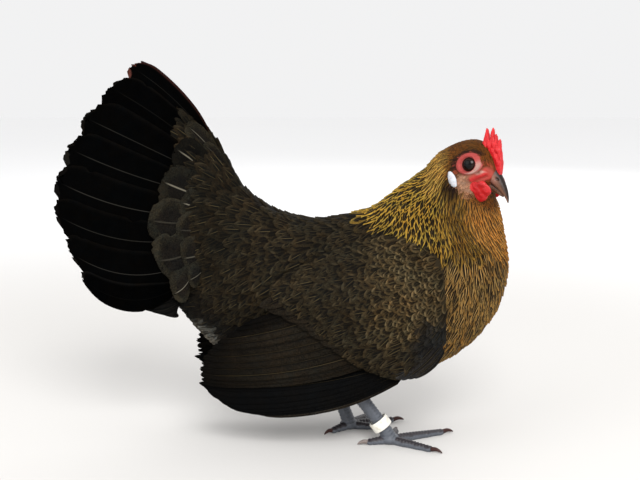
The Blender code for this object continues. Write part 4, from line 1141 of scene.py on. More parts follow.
# Fan: its place, how many feathers, colours, where the tip begins, how much darker its ends are.
WING_LOOKS = [
    ("primaries", PRIMARIES, 9, primary_look, 0.9, 0.5),
    ("secondaries", SECONDARIES, 12, secondary_look, 0.86, 0.85),
    ("greater_coverts", GREATER_COVERTS, 10, looks(OLIVE, SOOT, (0.45, 0.3, 0.3)), 0.72, 0.4),
    ("median_coverts", MEDIAN_COVERTS, 9, looks(OLIVE, SOOT, (0.45, 0.35, 0.4)), 0.66, 0.0),
    ("leading_feathers", LEADING_FEATHERS, 7, looks(SLATE, rgb(15, 15, 15), (0.4, 0.3, 0.5)), 0.76, 0.0),
]
WING_RAGGED, WING_SEED, TAIL_SEED = 0.004, 20, 40
wings = {}
for wing_name, side, reach in (("wing_right", -1, 1.0), ("wing_left", 1, LEFT_WING_REACH)):
    end = wing_name[5:]
    wings[wing_name] = [
        hang(f"{fan_name}_{end}", reached(fan, reach), count, wing_sheet, side, wing_plumage, look,
             tip_start, WING_SEED + n, WING_RAGGED, dark)
        for n, (fan_name, fan, count, look, tip_start, dark) in enumerate(WING_LOOKS)
    ]
    mesh = wing_ground(side)
    wings[wing_name] += [
        grow_coat(f"small_coverts_{end}", mesh, "cover_wing", "round", 2.4, 2.3, plumage, 0.4, 9),
        new_piece(f"skin_{wing_name}", mesh, skin),
    ]
print("pieces of each wing:", [len(pieces) for pieces in wings.values()])

# %% [markdown]
# ## Tail
# The tail is a tent of eight broad black feathers a side, opening downward and backward, with two
# rows of shorter coverts over their roots and a few below.

# %% Tail
TAIL_PIVOT, TAIL_ANGLES, TAIL_SHEET = (-50.0, 140.0), (122.0, 196.0), (0.6, 17.0, 112.0)
PITCH, TAIL_OLIVE, RUST = rgb(3, 3, 3), rgb(25, 23, 17), rgb(50, 28, 24)


def tail_look(share):
    """Black, with a rusty upper edge on the top feather."""
    edge = RUST if share == 0.0 else rgb(8, 7, 6)
    return edge, PITCH, (0.94, 0.3, 0.8)


def covert_look(share):
    """Olive below and on the top one, nearly black between, where the photo shows black."""
    black = smooth(share, 0.08, 0.16) * (1 - smooth(share, 0.25, 0.55))
    edge, middle = (np.array(c) * (1 - 0.75 * black) for c in (TAIL_OLIVE, rgb(17, 15, 12)))
    return edge, middle, (0.6, 0.75, 0.3 * (1 - black))


def tail_sheet(x, z):
    px, pz = TAIL_PIVOT
    ridge, opening, reach = TAIL_SHEET
    heading = math.degrees(math.atan2(z - pz, x - px)) % 360
    share = (heading - TAIL_ANGLES[0]) / (TAIL_ANGLES[1] - TAIL_ANGLES[0])
    far = min(1.0, math.hypot(x - px, z - pz) / reach)
    return ridge + opening * max(0.0, share) * far


TAIL_LOOKS = [
    ("tail_feathers", RECTRICES, 8, tail_look, 0.84),
    ("tail_coverts", TAIL_COVERTS, 6, covert_look, 0.66),
    ("short_tail_coverts", SHORT_TAIL_COVERTS, 7, covert_look, 0.66),
    ("under_tail_coverts", UNDER_TAIL_COVERTS, 5, looks(rgb(10, 9, 8), PITCH, (0.5, 0.1, 0.2)), 0.7),
]
tails = {}
for tail_name, side in (("tail_right", -1), ("tail_left", 1)):
    tails[tail_name] = [
        hang(f"{fan_name}_{tail_name[5:]}", fan, count, tail_sheet, side,
             black_plumage if n == 0 else covert_plumage, look, tip_start, TAIL_SEED + n)
        for n, (fan_name, fan, count, look, tip_start) in enumerate(TAIL_LOOKS)
    ]
print("fans of each half tail:", [len(pieces) for pieces in tails.values()])

# %% [markdown]
# ## Fleshy pieces
# Comb, wattles, ear-lobes and feet are soft or rounded forms. A sculptor would press lumps together
# and smooth the joins. Here closed lumps are joined, remeshed with small even cells and relaxed, and
# numpy then raises fine bumps along the normals.

# %% Lumps pressed together
BODY_SIDE = {"right": 1, "left": -1}


def add_ball(bm, at, size, spin=Matrix.Identity(4), segments=32, rings=20):
    """An ellipsoid, in mm."""
    place = Matrix.Translation(at) @ spin @ Matrix.Diagonal((*size, 1.0))
    bmesh.ops.create_uvsphere(bm, u_segments=segments, v_segments=rings, radius=1.0, matrix=place)


def mesh_of(bm, name):
    """A bmesh as a mesh. The bmesh is freed."""
    mesh = bpy.data.meshes.new(name)
    bm.to_mesh(mesh)
    bm.free()
    return mesh


def pressed(name, bm, cell, relax):
    """The lumps of a bmesh in mm as one smooth closed mesh in mm."""
    bmesh.ops.recalc_face_normals(bm, faces=bm.faces)
    helper = new_piece(name + "_lumps", mesh_of(bm, name))
    remesh = helper.modifiers.new("press", "REMESH")
    remesh.mode, remesh.voxel_size = "VOXEL", cell
    soft = helper.modifiers.new("relax", "SMOOTH")
    soft.factor, soft.iterations = 0.5, relax
    graph = bpy.context.evaluated_depsgraph_get()
    made = bpy.data.meshes.new_from_object(helper.evaluated_get(graph))
    bpy.data.objects.remove(helper)
    return made


def points_and_normals(mesh):
    """Where a mesh's points are and which way they face, as two arrays."""
    found = []
    for items, field in ((mesh.vertices, "co"), (mesh.vertex_normals, "vector")):
        values = np.empty(len(items) * 3, np.float32)
        items.foreach_get(field, values)
        found.append(values.reshape(-1, 3).astype(float))
    return found


def grain(points, size, seed=0.0):
    """Smooth noise from -1 to 1 with lumps of a size in mm."""
    return np.array([noise.noise(Vector(p) / size + Vector((seed, seed, seed))) for p in points])


def finished(name, mesh, points, finish, values=None):
    """A piece in metres from a mesh in mm, with moved points and values per point."""
    mesh.vertices.foreach_set("co", in_metres(points).astype(np.float32).ravel())
    set_values(mesh, values or {})
    mesh.shade_smooth()
    mesh.update()
    return new_piece(name, mesh, finish)


def head_point(forward, right, up):
    return Vector((HEAD_CENTRE[0] + forward, -right, HEAD_CENTRE[1] + up))


def on_head_skin(forward, side, up):
    """The point on the straight head's skin at a place in side view. Side 1 is the hen's right."""
    return straight_tree.ray_cast(head_point(forward, side * 60.0, up), Vector((0, side, 0)))[0]


# %% [markdown]
# ## Finishes of flesh, horn and scale
# Comb and wattles are warm red with a pebbled grain and a soft gloss. A deeper tone lies in soft clouds
# and, as painted shade, in the grooves between the pebbles. Beak and claws are streaked along their
# length. Legs are slate blue, with painted shade in the scutes' grooves.

# %% Finishes of flesh, horn and scale
def flesh_finish(name, colour, deep, roughness, pebbles, bump, glow):
    f = Finish(name, roughness, Subsurface_Weight=glow, Subsurface_Scale=0.002, Specular_IOR_Level=0.45)
    f.shader.inputs["Subsurface Radius"].default_value = (1.0, 0.25, 0.15)
    cloud = f.noise(260.0, detail=3.0)
    cells = f.cells(pebbles, feature="SMOOTH_F1")
    # A deeper tone in soft clouds, and painted shade in the grooves between the pebbles.
    shade = (cloud - 0.5) * 0.8 + cells * 0.7
    f.colour(f.mix(shade.ramp(0.0, 1.0), colour, deep))
    f.bump((1 - cells) * 0.7 + cloud * 0.6, bump * MM, 0.8)
    return f


comb_flesh = flesh_finish("comb_flesh", rgb(198, 22, 28), rgb(160, 8, 18), 0.45, 1100.0, 0.1, 0.04)
wattle_flesh = flesh_finish("wattle_flesh", rgb(188, 24, 28), rgb(138, 8, 16), 0.42, 900.0, 0.12, 0.06)
lobe_flesh = flesh_finish("lobe_flesh", rgb(194, 196, 202), rgb(158, 156, 160), 0.5, 1000.0, 0.12, 0.1)


def horn_finish(name):
    f = Finish(name, 0.4, Specular_IOR_Level=0.25)
    tint = f.attribute("tint", 1)
    streaks = f.noise(900.0, detail=3.0)
    f.colour(f.shade(tint, 0.7 + streaks * 0.6))
    f.bump(streaks, 0.06 * MM, 0.5)
    return f


def scale_finish(name):
    f = Finish(name, 0.45, Specular_IOR_Level=0.45)
    tint, groove = f.attribute("tint", 1), f.attribute("groove", 2)
    cells = f.cells(900.0, feature="DISTANCE_TO_EDGE")
    cloud = f.noise(400.0, detail=3.0)
    # Painted shade: darker in the scutes' grooves and at the edges of the small scales.
    bright = (0.75 + cloud * 0.5) * (1 - groove * 0.7) * (0.85 + 0.15 * cells.ramp(0.0, 0.12))
    f.colour(f.shade(tint, bright))
    f.bump(cells.ramp(0.0, 0.2) * 0.5 + cloud * 0.5, 0.1 * MM, 0.6)
    return f


horn, scaly = horn_finish("horn"), scale_finish("scales")
print("finishes so far:", len(bpy.data.materials))

# %% [markdown]
# ## Comb
# The comb is a single blade with four thin spikes, set from the beak's root over the brow. Its
# outline is the solids' own; each spike is rounded, and the flesh swells between them.

# %% Comb
COMB_OUTLINE = [
    (16.6, -7.4), (17.8, -2.0), (17.7, 3.0), (16.8, 8.6), (15.9, 15.6), (14.0, 12.0), (12.9, 18.6),
    (11.6, 13.6), (10.5, 22.6), (8.2, 14.0), (5.7, 22.2), (3.4, 14.2), (1.6, 11.8),
    (3.8, 1.9), (10.6, -7.0),
]
COMB_THICKNESS = 3.0
COMB_LUMPS = [(14.6, 9.5), (11.4, 12.6), (8.0, 12.2), (5.0, 11.5), (15.4, 1.5), (13.5, 5.0)]
LUMP_SIZE, SPIKE_SIZE, SPIKE_DROP = (2.4, 2.3, 3.0), (1.15, 1.1, 5.0), 4.2
# Spikes: the tip's place and how far it leans, in degrees.
COMB_SPIKES = [(5.4, 22.2, -8.0), (10.2, 22.6, 6.0), (12.6, 18.8, 10.0), (15.6, 15.8, 14.0)]

comb_bm = bmesh.new()
comb_sides = [[comb_bm.verts.new(head_point(x, offset, z)) for x, z in COMB_OUTLINE]
              for offset in (-COMB_THICKNESS / 2, COMB_THICKNESS / 2)]
for plate in comb_sides:
    bmesh.ops.triangulate(comb_bm, faces=[comb_bm.faces.new(plate)])
for k in range(len(COMB_OUTLINE)):
    after = (k + 1) % len(COMB_OUTLINE)
    comb_bm.faces.new((comb_sides[0][k], comb_sides[0][after], comb_sides[1][after], comb_sides[1][k]))
for x, z in COMB_LUMPS:
    add_ball(comb_bm, head_point(x, 0, z), LUMP_SIZE, segments=20, rings=12)
for x, z, lean in COMB_SPIKES:
    spin = Matrix.Rotation(math.radians(lean), 4, "Y")
    add_ball(comb_bm, head_point(x, 0, z) + spin @ Vector((0, 0, -SPIKE_DROP)), SPIKE_SIZE, spin, 20, 16)
comb_mesh = pressed("comb", comb_bm, 0.26, 3)
p, n = points_and_normals(comb_mesh)
soft = smooth(p[:, 2] - HEAD_CENTRE[1], 17.0, 12.0)
p = p + n * (soft * grain(p * (1, 1, 0.6), 2.0) * 0.35 + grain(p, 0.8, 3.0) * 0.06)[:, None]
comb = finished("comb_flesh", comb_mesh, turned_head(p), comb_flesh)
print("points on the comb:", len(p))

# %% [markdown]
# ## Wattles and ear-lobes
# A wattle is a soft flap folded on itself, so it is made of lumps side by side that melt into each
# other, four on her right and three on her left. The ear-lobe is a white almond, slightly uneven.

# %% Wattles and ear-lobes
WATTLE_FOLDS = [(6.6, -16.8, (8.0, 1.9, 6.9), 0.0), (1.6, -14.6, (4.4, 2.1, 4.0), 20.0),
                (12.0, -14.6, (5.4, 1.7, 4.6), 8.0), (11.2, -12.4, (4.2, 1.8, 3.4), -24.0)]
WATTLE_SPLAY = {"right": (math.radians(20.0), 0.0), "left": (math.radians(12.0), 7.5)}
EARLOBE_AT, EARLOBE_SIZE, EARLOBE_LEAN = (-7.8, -9.4), (2.9, 1.5, 5.4), math.radians(-28.0)

soft_pieces = {}
for side_name, side in BODY_SIDE.items():
    splay_angle, back = WATTLE_SPLAY[side_name]
    splay = Matrix.Rotation(side * splay_angle, 4, "X")
    ahead, below = WATTLE_FOLDS[0][:2]
    middle = on_head_skin(ahead - back, side, below)
    bm = bmesh.new()
    folds = WATTLE_FOLDS if side_name == "right" else WATTLE_FOLDS[:2] + WATTLE_FOLDS[3:]
    for place, height, size, lean in folds:
        beside = splay @ Vector((place - ahead, 0, height - below))
        add_ball(bm, middle + beside, size, splay @ Matrix.Rotation(math.radians(lean), 4, "Y"))
    mesh = pressed("wattle", bm, 0.32, 6)
    p, n = points_and_normals(mesh)
    wrinkle = grain(p * (0.6, 1.0, 0.8), 2.0, 5.0) * 0.4 + grain(p, 0.7, 8.0) * 0.05
    p = p + n * (wrinkle - 0.1)[:, None]
    name = f"wattle_{side_name}"
    soft_pieces[name] = finished(f"{name}_flesh", mesh, turned_head(p), wattle_flesh)
    bm = bmesh.new()
    lobe_at = on_head_skin(EARLOBE_AT[0], side, EARLOBE_AT[1])
    add_ball(bm, lobe_at, EARLOBE_SIZE, Matrix.Rotation(EARLOBE_LEAN, 4, "Y"), 48, 32)
    mesh = mesh_of(bm, "earlobe")
    p, n = points_and_normals(mesh)
    p = p + n * (grain(p, 2.4, 2.0) * 0.3)[:, None]
    name = f"earlobe_{side_name}"
    soft_pieces[name] = finished(f"{name}_flesh", mesh, turned_head(p), lobe_flesh)
print("wattles and ear-lobes:", len(soft_pieces))

# %% [markdown]
# ## Eyes and lids
# The eye is a ball of eleven millimetres of which only a disc shows: a nearly black iris under clear
# gloss. Round it the lids are a ring of fine red folds, from the disc's edge out to the face.

# %% Eyes and lids
EYE_OPEN_AT, EYE_SHOWS = (0.9, 0.3), (4.0, 4.3)
LID_RINGS, LID_SIDES, LID_RAISE = 22, 96, 0.7
IRIS_DARK, IRIS_RIM = (0.002, 0.0015, 0.0015), (0.014, 0.006, 0.003)
LID_RED, LID_PALE, LID_RIM = rgb(156, 64, 60), rgb(170, 132, 122), rgb(26, 15, 13)
eye_dark = Finish("eye_dark", 0.05, Specular_IOR_Level=0.16)
iris_share = eye_dark.attribute("iris", 2)
eye_dark.colour(eye_dark.mix(iris_share.ramp(0.55, 0.75), IRIS_DARK, IRIS_RIM))

eyes, lids = {}, []
for side_name, side in BODY_SIDE.items():
    centre = np.array(head_point(EYE_AT[0], side * EYE_AT[1], EYE_AT[2]))
    bm = bmesh.new()
    add_ball(bm, Vector(centre), (EYE_RADIUS,) * 3, segments=64, rings=40)
    mesh = mesh_of(bm, "eye")
    p = points_and_normals(mesh)[0]
    iris = np.hypot(p[:, 0] - centre[0] - EYE_OPEN_AT[0], p[:, 2] - centre[2] - EYE_OPEN_AT[1]) / EYE_SHOWS[1]
    name = f"eye_{side_name}"
    eyes[name] = finished(f"{name}_ball", mesh, turned_head(p), eye_dark, {"iris": iris})
    r, a = np.meshgrid(np.linspace(0, 1, LID_RINGS), np.linspace(0, 2 * math.pi, LID_SIDES, endpoint=False),
                       indexing="ij")
    centre_x = EYE_OPEN_AT[0] + (EYE_RING_AT[0] - EYE_OPEN_AT[0]) * r
    centre_z = EYE_OPEN_AT[1] + (EYE_RING_AT[1] - EYE_OPEN_AT[1]) * r
    dx = centre_x + (EYE_SHOWS[0] + (EYE_RING_SIZE[0] - EYE_SHOWS[0]) * r) * np.cos(a)
    dz = centre_z + (EYE_SHOWS[1] + (EYE_RING_SIZE[1] - EYE_SHOWS[1]) * r) * np.sin(a)
    skin_y = [abs(on_head_skin(x, side, z).y) for x, z in zip(dx.ravel(), dz.ravel())]
    skin_y = np.array(skin_y).reshape(r.shape)
    ball_y = EYE_AT[1] + np.sqrt(np.maximum((EYE_RADIUS + 0.12) ** 2 - dx**2 - dz**2, 0.0))
    swell = LID_RAISE * np.sin(np.pi * np.clip(r * 1.1, 0, 1)) ** 0.7 + 0.15
    folds = (0.16 * np.sin(r * 20 + 2 * np.sin(a * 3)) + 0.08 * np.sin(a * 23 + 5 * r)) * np.sin(np.pi * r)
    front_low = smooth(np.cos(a + 0.65), 0.3, 0.95) * smooth(np.abs(r - 0.6), 0.4, 0.15)
    tint = np.array(LID_RED) + (np.array(LID_PALE) - LID_RED) * front_low[..., None]
    tint = np.array(LID_RIM) + (tint - LID_RIM) * smooth(r, 0.0, 0.14)[..., None]
    tint = np.concatenate([tint, tint[::-1]])
    y = np.maximum(ball_y * (1 - smooth(r, 0.0, 0.28)) + (skin_y + swell) * smooth(r, 0.0, 0.28), ball_y)
    y = y + folds - 0.7 * smooth(r, 0.82, 1.0)
    inner = np.stack([dx * 0.97, y - 1.0, dz * 0.97], -1)[::-1]
    ring = np.concatenate([np.stack([dx, y, dz], -1), inner])
    shape = np.array(head_point(0, 0, 0)) + ring * (1, -side, 1)
    values = {"tint": tint, "core": tint, "bare": np.ones(len(tint) * LID_SIDES)}
    name = f"lids_{side_name}"
    mesh = new_mesh(name, turned_head(shape), loop_faces(2 * LID_RINGS, LID_SIDES), values)
    face_outward(mesh)
    lids.append(new_piece(name, mesh, skin))
print("eyes:", len(eyes), "rings of lids:", len(lids))

# %% [markdown]
# ## Beak and claws
# Both are horn: a beak in two halves with a nostril low on its side, and a claw on every toe. They
# are lofts through a few sections, streaked dark along the ridge and paler on the sides.

# %% Beak
UPPER_BEAK_RIBS = [
    ((14.6, -2.6), (8.6, -11.0), 4.9, 0.6), ((18.2, -7.6), (12.6, -13.0), 4.1, 0.6),
    ((20.9, -12.6), (16.4, -15.4), 3.1, 0.65), ((22.6, -17.2), (19.8, -18.4), 2.0, 0.6),
    ((23.3, -21.0), (21.7, -21.4), 0.95, 0.5), ((23.2, -23.2), (22.7, -23.3), 0.35, 0.5),
]
LOWER_BEAK_RIBS = [
    ((8.4, -9.6), (7.8, -16.0), 4.3, 0.45), ((12.8, -11.8), (12.0, -17.0), 3.4, 0.45),
    ((16.8, -14.4), (15.8, -18.6), 2.3, 0.45), ((19.8, -17.4), (19.0, -19.9), 1.0, 0.45),
]
BEAK_RINGS, BEAK_SIDES = 60, 48
NOSTRIL_AT, NOSTRIL_LEAN, NOSTRIL_FLATNESS = (16.2, -8.6), (0.79, 0.61), 1.7
NOSTRIL_EDGE, NOSTRIL_DEPTH, NOSTRIL_SHADE = (1.7, 0.8), 1.5, np.array((0.01, 0.006, 0.005))
RIDGE, HORN_SIDE, HORN_PALE, HORN_TIP = (
    np.array(rgb(*paint)) for paint in ((32, 21, 17), (102, 70, 52), (146, 100, 86), (118, 82, 66))
)


beaks = {}
for beak_name, ribs in (("beak_upper", UPPER_BEAK_RIBS), ("beak_lower", LOWER_BEAK_RIBS)):
    s, a = np.meshgrid(np.linspace(0, 1, BEAK_RINGS), np.arange(BEAK_SIDES) * 2 * math.pi / BEAK_SIDES,
                       indexing="ij")
    grid = rib_points(ribs, s, a)
    side_light = smooth(np.minimum(a, 2 * math.pi - a), 0.5, 1.5)
    tint = RIDGE + (HORN_SIDE - RIDGE) * side_light[..., None]
    tint += (HORN_PALE - tint) * (side_light * smooth(s, 0.4, 0.05))[..., None]
    tint += (HORN_TIP - tint) * (side_light * smooth(s, 0.6, 0.85) * 0.6)[..., None]
    if beak_name == "beak_upper":
        for side in (1, -1):
            dx, dz = grid[..., 0] - NOSTRIL_AT[0], grid[..., 2] - NOSTRIL_AT[1]
            over, along = NOSTRIL_LEAN
            away = np.hypot(dx * over - dz * along, (dx * along + dz * over) * NOSTRIL_FLATNESS)
            hole = smooth(away, *NOSTRIL_EDGE) * (grid[..., 1] * side > 0)
            grid[..., 1] -= side * hole * NOSTRIL_DEPTH
            # The nostril's hole is painted nearly black: painted shade in the opening.
            tint += (NOSTRIL_SHADE - tint) * hole[..., None]
    else:
        tint = tint * 0.75
    grid[..., 1] += 0.05 * np.sin(grid[..., 0] * 5)
    shape = with_poles(np.array(head_point(0, 0, 0)) + grid)
    values = {"tint": with_poles(tint)}
    mesh = new_mesh(beak_name, turned_head(shape), ring_faces(BEAK_RINGS, BEAK_SIDES), values)
    face_outward(mesh)
    beaks[beak_name] = new_piece(beak_name + "_horn", mesh, horn)
print("halves of the beak:", len(beaks))

# %% [markdown]
# ## Feet and the tubes that make them
# A hen's leg is bone and tendon in a sleeve of scales, so shank and toes are tubes that swell at the
# joints. The numbers are the solids' own. The same tubes, unpressed, make claws and thighs.

# %% Feet and tubes
FEET = {
    "right": {
        "root": (45.0, -22.0), "hock": (21.0, -19.5, 37.0), "thigh": (18.0, -21.0, 74.0),
        "toes": [("inner", 76.0, 20.0, 6.0), ("middle", 26.0, 40.0, 8.0), ("outer", -33.0, 30.0, 7.5),
                 ("hind", 191.0, 14.0, 7.0)],
    },
    "left": {
        "root": (19.5, 8.0), "hock": (6.0, 14.0, 37.0), "thigh": (4.0, 20.0, 74.0),
        "toes": [("inner", -8.0, 18.0, 6.0), ("middle", 23.0, 33.0, 8.0), ("outer", 58.0, 26.0, 7.0),
                 ("hind", 222.0, 15.0, 7.0)],
    },
}
SHANK_FOOT_HEIGHT, TOE_RADIUS, TOE_TIP_RADIUS, SOLE_SHARE = 5.1, 2.9, 2.0, 0.86
SHANK_ABOVE, SHANK_BELOW, SHANK_SHARES, SHANK_TUBE = 6.0, 1.0, (0.35, 0.75), [5.2, 5.1, 4.4, 4.3, 4.6]
PAD_SIZE, PAD_HEIGHT, THIGH_RADII, GAP = (6.2, 5.8, 3.6), 3.0, (17.0, 8.5), 0.3
TOE_SHARES, TOE_TUBE = (0, 0.33, 0.66, 1.0), [TOE_RADIUS, TOE_RADIUS, 2.5, TOE_TIP_RADIUS]
KNUCKLE_SHARES, KNUCKLE_SWELL, KNUCKLE_DROP = (0.36, 0.68, 0.93), (1.3, 1.3, 1.02), 0.1
CLAW_RADII, CLAW_SHARES, CLAW_LIFTS = (1.45, 1.25, 0.85, 0.3), (0.0, 0.4, 0.75, 1.0), (0.0, 0.5, -0.1, -1.1)
CLAW_RINGS, CLAW_SIDES, CLAW_FLOOR = 24, 20, 0.02
SCUTE_PITCH, SCUTE_RISE, SHANK_REACH = 2.3, 0.5, 2.0
SLATE_BLUE, SLATE_DARK, HORN_BROWN, CLAW_PALE = (
    np.array(rgb(*paint)) for paint in ((84, 88, 96), (42, 35, 39), (54, 28, 24), (150, 140, 134))
)


def tube_grid(path, radii, rings, sides):
    """Rings round a smooth path, for arrays of points and radii in mm."""
    rows = np.array([[*p, r] for p, r in zip(path, radii)])
    s = np.linspace(0, 1, rings)
    line = spline(rows, s)
    ahead = unit(spline(rows[:, :3], s + 0.01) - spline(rows[:, :3], s - 0.01))
    side = unit(np.cross(ahead, [0, 0, 1.0]))
    over = np.cross(side, ahead)
    a = np.arange(sides) * 2 * math.pi / sides
    ring = side[:, None] * np.cos(a)[None, :, None] + over[:, None] * np.sin(a)[None, :, None]
    return line[:, None, :3] + ring * line[:, None, 3:4]


def add_tube(bm, grid):
    made = [bm.verts.new(p) for p in with_poles(grid)]
    for face in ring_faces(*grid.shape[:2]):
        bm.faces.new([made[i] for i in face])


def leg_bones(foot):
    """Start and end of each line that the scutes follow: the toes, then the shank."""
    root = np.array([*foot["root"], 0.0])
    lines = []
    for _, heading, length, _ in foot["toes"]:
        way = np.array([math.cos(math.radians(heading)), math.sin(math.radians(heading)), 0.0])
        lines.append((root + (0, 0, TOE_RADIUS * SOLE_SHARE),
                      root + way * length + (0, 0, TOE_TIP_RADIUS * SOLE_SHARE)))
    lines.append((np.array(foot["hock"]), root + (0, 0, SHANK_FOOT_HEIGHT)))
    return lines


# %% [markdown]
# ## Legs, toes and claws
# Each leg is pressed from its tubes and knuckles. Then the scutes, the broad scales across the front
# of shank and toes, are raised as a saw along the nearest bone, and their grooves are kept as a value
# that paints shade into them. The claws stay apart, a gap ahead of each toe.

# %% Legs, toes and claws
def leg_lumps(foot, bones):
    """Shank, pad, toes and knuckles in one bmesh, in mm."""
    bm = bmesh.new()
    hock, ankle = bones[-1]
    way = unit(ankle - hock)
    shank = [hock - way * SHANK_ABOVE, hock, *[hock + (ankle - hock) * share for share in SHANK_SHARES],
             ankle - (0, 0, SHANK_BELOW)]
    add_tube(bm, tube_grid(shank, SHANK_TUBE, 30, 24))
    add_ball(bm, Vector((*foot["root"], PAD_HEIGHT)), PAD_SIZE)
    for start, end in bones[:-1]:
        add_tube(bm, tube_grid([start + (end - start) * share for share in TOE_SHARES], TOE_TUBE, 24, 20))
        for share in KNUCKLE_SHARES:
            at = Vector(start + (end - start) * share) - Vector((0, 0, KNUCKLE_DROP))
            radius = TOE_RADIUS + (TOE_TIP_RADIUS - TOE_RADIUS) * share
            add_ball(bm, at, [radius * swell for swell in KNUCKLE_SWELL], segments=20, rings=12)
    return bm


def new_claw(name, start, end, length, pale):
    """A claw ahead of a toe's end, between brown and pale."""
    way = unit(end * (1, 1, 0) - start * (1, 1, 0))
    base = np.array([*end[:2], TOE_TIP_RADIUS * SOLE_SHARE + 0.1]) + way * GAP
    path = [base + way * length * share + (0, 0, lift) for share, lift in zip(CLAW_SHARES, CLAW_LIFTS)]
    grid = tube_grid(path, CLAW_RADII, CLAW_RINGS, CLAW_SIDES)
    grid[..., 2] = np.maximum(grid[..., 2], CLAW_FLOOR)
    points = with_poles(grid)
    tint = HORN_BROWN + (CLAW_PALE - HORN_BROWN) * pale
    values = {"tint": np.tile(tint, (len(points), 1))}
    mesh = new_mesh(name, points, ring_faces(CLAW_RINGS, CLAW_SIDES), values)
    face_outward(mesh)
    return new_piece(name + "_horn", mesh, horn)


def scuted_leg(mesh, foot, bones):
    """A leg's points raised into scutes, with their tint and the painted shade of their grooves."""
    p, normal = points_and_normals(mesh)
    nearest_bone, along_bone, on_shank = np.full(len(p), 1e9), np.zeros(len(p)), np.zeros(len(p))
    for start, end in bones:
        line, is_shank = end - start, float(end is bones[-1][1])
        share = np.clip((p - start) @ line / (line @ line), -0.05, 1.05)
        distance = np.linalg.norm(p - (start + share[:, None] * line), axis=1) - SHANK_REACH * is_shank
        closer = distance < nearest_bone
        nearest_bone = np.where(closer, distance, nearest_bone)
        along_bone = np.where(closer, share * np.linalg.norm(line), along_bone)
        on_shank = np.where(closer, is_shank, on_shank)
    front = unit(np.array(foot["root"]) - np.array(foot["hock"][:2]))
    facing = np.where(on_shank > 0.5, np.abs(normal[:, :2] @ front), normal[:, 2])
    scuted = smooth(facing, 0.15, 0.6)
    saw = (along_bone / SCUTE_PITCH) % 1.0
    rise = scuted * SCUTE_RISE * (saw - 0.5 - 0.9 * smooth(saw, 0.86, 1.0))
    p = p + normal * (rise + grain(p, 1.1) * 0.1 * (1 - scuted))[:, None]
    p[:, 2] = np.maximum(p[:, 2], 0.0)
    # The painted shade at the step of each scute.
    groove = scuted * smooth(np.abs(saw - 0.97), 0.14, 0.02)
    tint = SLATE_BLUE + (SLATE_DARK - SLATE_BLUE) * (scuted * (1 - on_shank) * 0.9)[:, None]
    return mesh, p, {"tint": tint, "groove": groove}


def thigh_grid(foot):
    hip, knee = np.array(foot["thigh"]), np.array(foot["hock"])
    leg = unit(knee - hip)
    path = [hip, hip + (knee - hip) * 0.45, knee - leg * 3.0, knee + leg * 1.0]
    wide, narrow = THIGH_RADII
    return tube_grid(path, [wide * 0.8 - 2, wide - 2, narrow - 1.5, narrow * 0.75 - 0.8], 50, 60)


leg_parts, claws, thigh_grids = [], {}, {}
for side_name, foot in FEET.items():
    bones = leg_bones(foot)
    for (toe, _, _, length), (start, end) in zip(foot["toes"], bones):
        name = f"claw_{side_name}_{toe}"
        claws[name] = new_claw(name, start, end, length, 0.6 if name == "claw_right_hind" else 0.0)
    leg_parts.append(scuted_leg(pressed(f"leg_{side_name}", leg_lumps(foot, bones), 0.42, 4), foot, bones))
    thigh_grids[side_name] = thigh_grid(foot)
print("points on the legs:", [len(p) for _, p, _ in leg_parts], "claws:", len(claws))

# %% [markdown]
# ## Thighs
# The thighs leave the belly as short cones under loose downy feathers, which grow longer upward.

# %% Thigh coats
thigh_meshes = []
for side_name, grid in thigh_grids.items():
    s = np.repeat(np.linspace(0, 1, len(grid))[:, None], grid.shape[1], 1)
    tract = painted([("flank", None), ("belly", smooth(s, 0.2, 0.6) * 0.7)], s.shape)
    tract[..., 9:11] *= (1.0 - 0.35 * smooth(s, 0.4, 0.9))[..., None]
    foot = FEET[side_name]
    lie = unit(np.array(foot["hock"]) - np.array(foot["thigh"]) + (-14.0, 0, 0))
    covers = {"cover_thigh": np.ones(s.shape), "bare": s * 0}
    values = coat_values(tract, np.broadcast_to(lie, grid.shape), covers)
    mesh = new_mesh(f"thigh_ground_{side_name}", with_poles(grid), ring_faces(*s.shape), values,
                    {"unwrap": ring_map(*s.shape)})
    face_outward(mesh)
    thigh_meshes.append(mesh)
    name = f"coat_thigh_{side_name}"
    coats[name] = grow_coat(name, mesh, "cover_thigh", "round", 2.4, 1.9, downy, 0.3, 12)

# %% [markdown]
# ## One skin
# Body, thighs, shanks and feet become one piece with two finishes, feathered skin and scales.

# %% One skin
def joined(name, objects):
    with bpy.context.temp_override(active_object=objects[0], selected_editable_objects=objects):
        bpy.ops.object.join()
    objects[0].name = name
    return objects[0]


skin_pieces = [new_piece("skin", body_ground, skin)]
skin_pieces += [new_piece("thigh_skin", mesh, skin) for mesh in thigh_meshes]
skin_pieces += [finished("leg_skin", mesh, p, scaly, values) for mesh, p, values in leg_parts]
whole_skin = joined("skin", skin_pieces)
print("skin:", len(whole_skin.data.vertices), "points,", len(whole_skin.data.materials), "finishes")

# %% [markdown]
# ## The ring on her leg
# A loose pale plastic ring with rounded edges sits above the right foot.

# %% Leg band
BAND_RADIUS, BAND_WALL, BAND_WIDTH, BAND_PLACE = 6.5, 0.9, 6.5, 0.75
BAND_RINGS, BAND_SIDES, BAND_SQUARENESS = 28, 96, 0.35

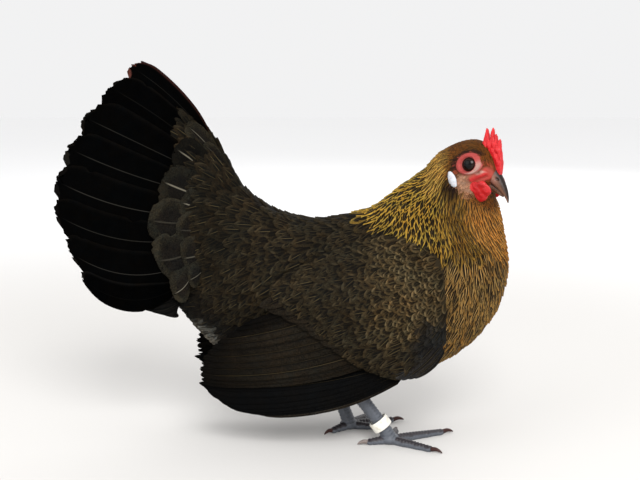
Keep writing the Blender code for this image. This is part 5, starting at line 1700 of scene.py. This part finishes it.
band_finish = Finish("band_plastic", 0.38, Specular_IOR_Level=0.5, Coat_Weight=0.15)
wear = band_finish.noise(300.0, detail=4.0)
band_finish.colour(band_finish.mix(wear.ramp(0.45, 0.75), rgb(236, 233, 222), rgb(206, 200, 182)))
band_finish.bump(wear, 0.05 * MM, 0.5)
hock, ankle = leg_bones(FEET["right"])[-1]
middle = hock + (ankle - hock) * BAND_PLACE
spin = np.array(Vector(ankle - hock).to_track_quat("Z", "Y").to_matrix())
c, a = np.meshgrid(np.linspace(0, 2 * math.pi, BAND_RINGS, endpoint=False),
                   np.linspace(0, 2 * math.pi, BAND_SIDES, endpoint=False), indexing="ij")
squared = [np.sign(f(c)) * np.abs(f(c)) ** BAND_SQUARENESS for f in (np.cos, np.sin)]
radius = BAND_RADIUS - BAND_WALL / 2 + squared[0] * BAND_WALL / 2
ring = np.stack([radius * np.cos(a), radius * np.sin(a), squared[1] * BAND_WIDTH / 2], -1)
band_mesh = new_mesh("band", middle + ring @ spin.T, loop_faces(BAND_RINGS, BAND_SIDES))
face_outward(band_mesh)
band = new_piece("band_ring", band_mesh, band_finish)
print("the ring is", 2 * BAND_RADIUS, "mm across")

# %% [markdown]
# ## Everything rides, and each piece stands for its solids
# The model has no joints, so every piece rides on the root. Each piece names the solids that it
# stands for.

# %% Ride and replace
placed = []


def place_piece(piece, slot, *nodes):
    placed.append(piece.name)
    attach(piece, "root")
    if nodes:
        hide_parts(*nodes)


flesh_nodes = ["torso", "neck", "head"]
flesh_nodes += [f"{part}_{side_name}" for part in ("thigh", "shank", "foot") for side_name in FEET]
place_piece(whole_skin, "face_skin", *flesh_nodes)
golden_coats = ("coat_cape", "coat_breast", "coat_head")
for coat_name, piece in coats.items():
    place_piece(piece, "hackle_plumage" if coat_name in golden_coats else "body_plumage")
for slot, limbs in (("body_plumage", wings), ("tail_plumage", tails)):
    for node, pieces in limbs.items():
        place_piece(pieces[0], slot, node)
        for piece in pieces[1:]:
            place_piece(piece, slot)
place_piece(comb, "comb_skin", "comb")
for node, piece in soft_pieces.items():
    place_piece(piece, "comb_skin" if node.startswith("wattle") else "earlobe_skin", node)
for node, piece in eyes.items():
    place_piece(piece, "eye", node)
for piece in lids:
    place_piece(piece, "face_skin")
for node, piece in {**beaks, **claws}.items():
    place_piece(piece, "horn", node)
place_piece(band, "leg_band_plastic", "leg_band")
for helper in LEAVES.values():
    bpy.data.objects.remove(helper)
print("pieces placed:", len(placed))
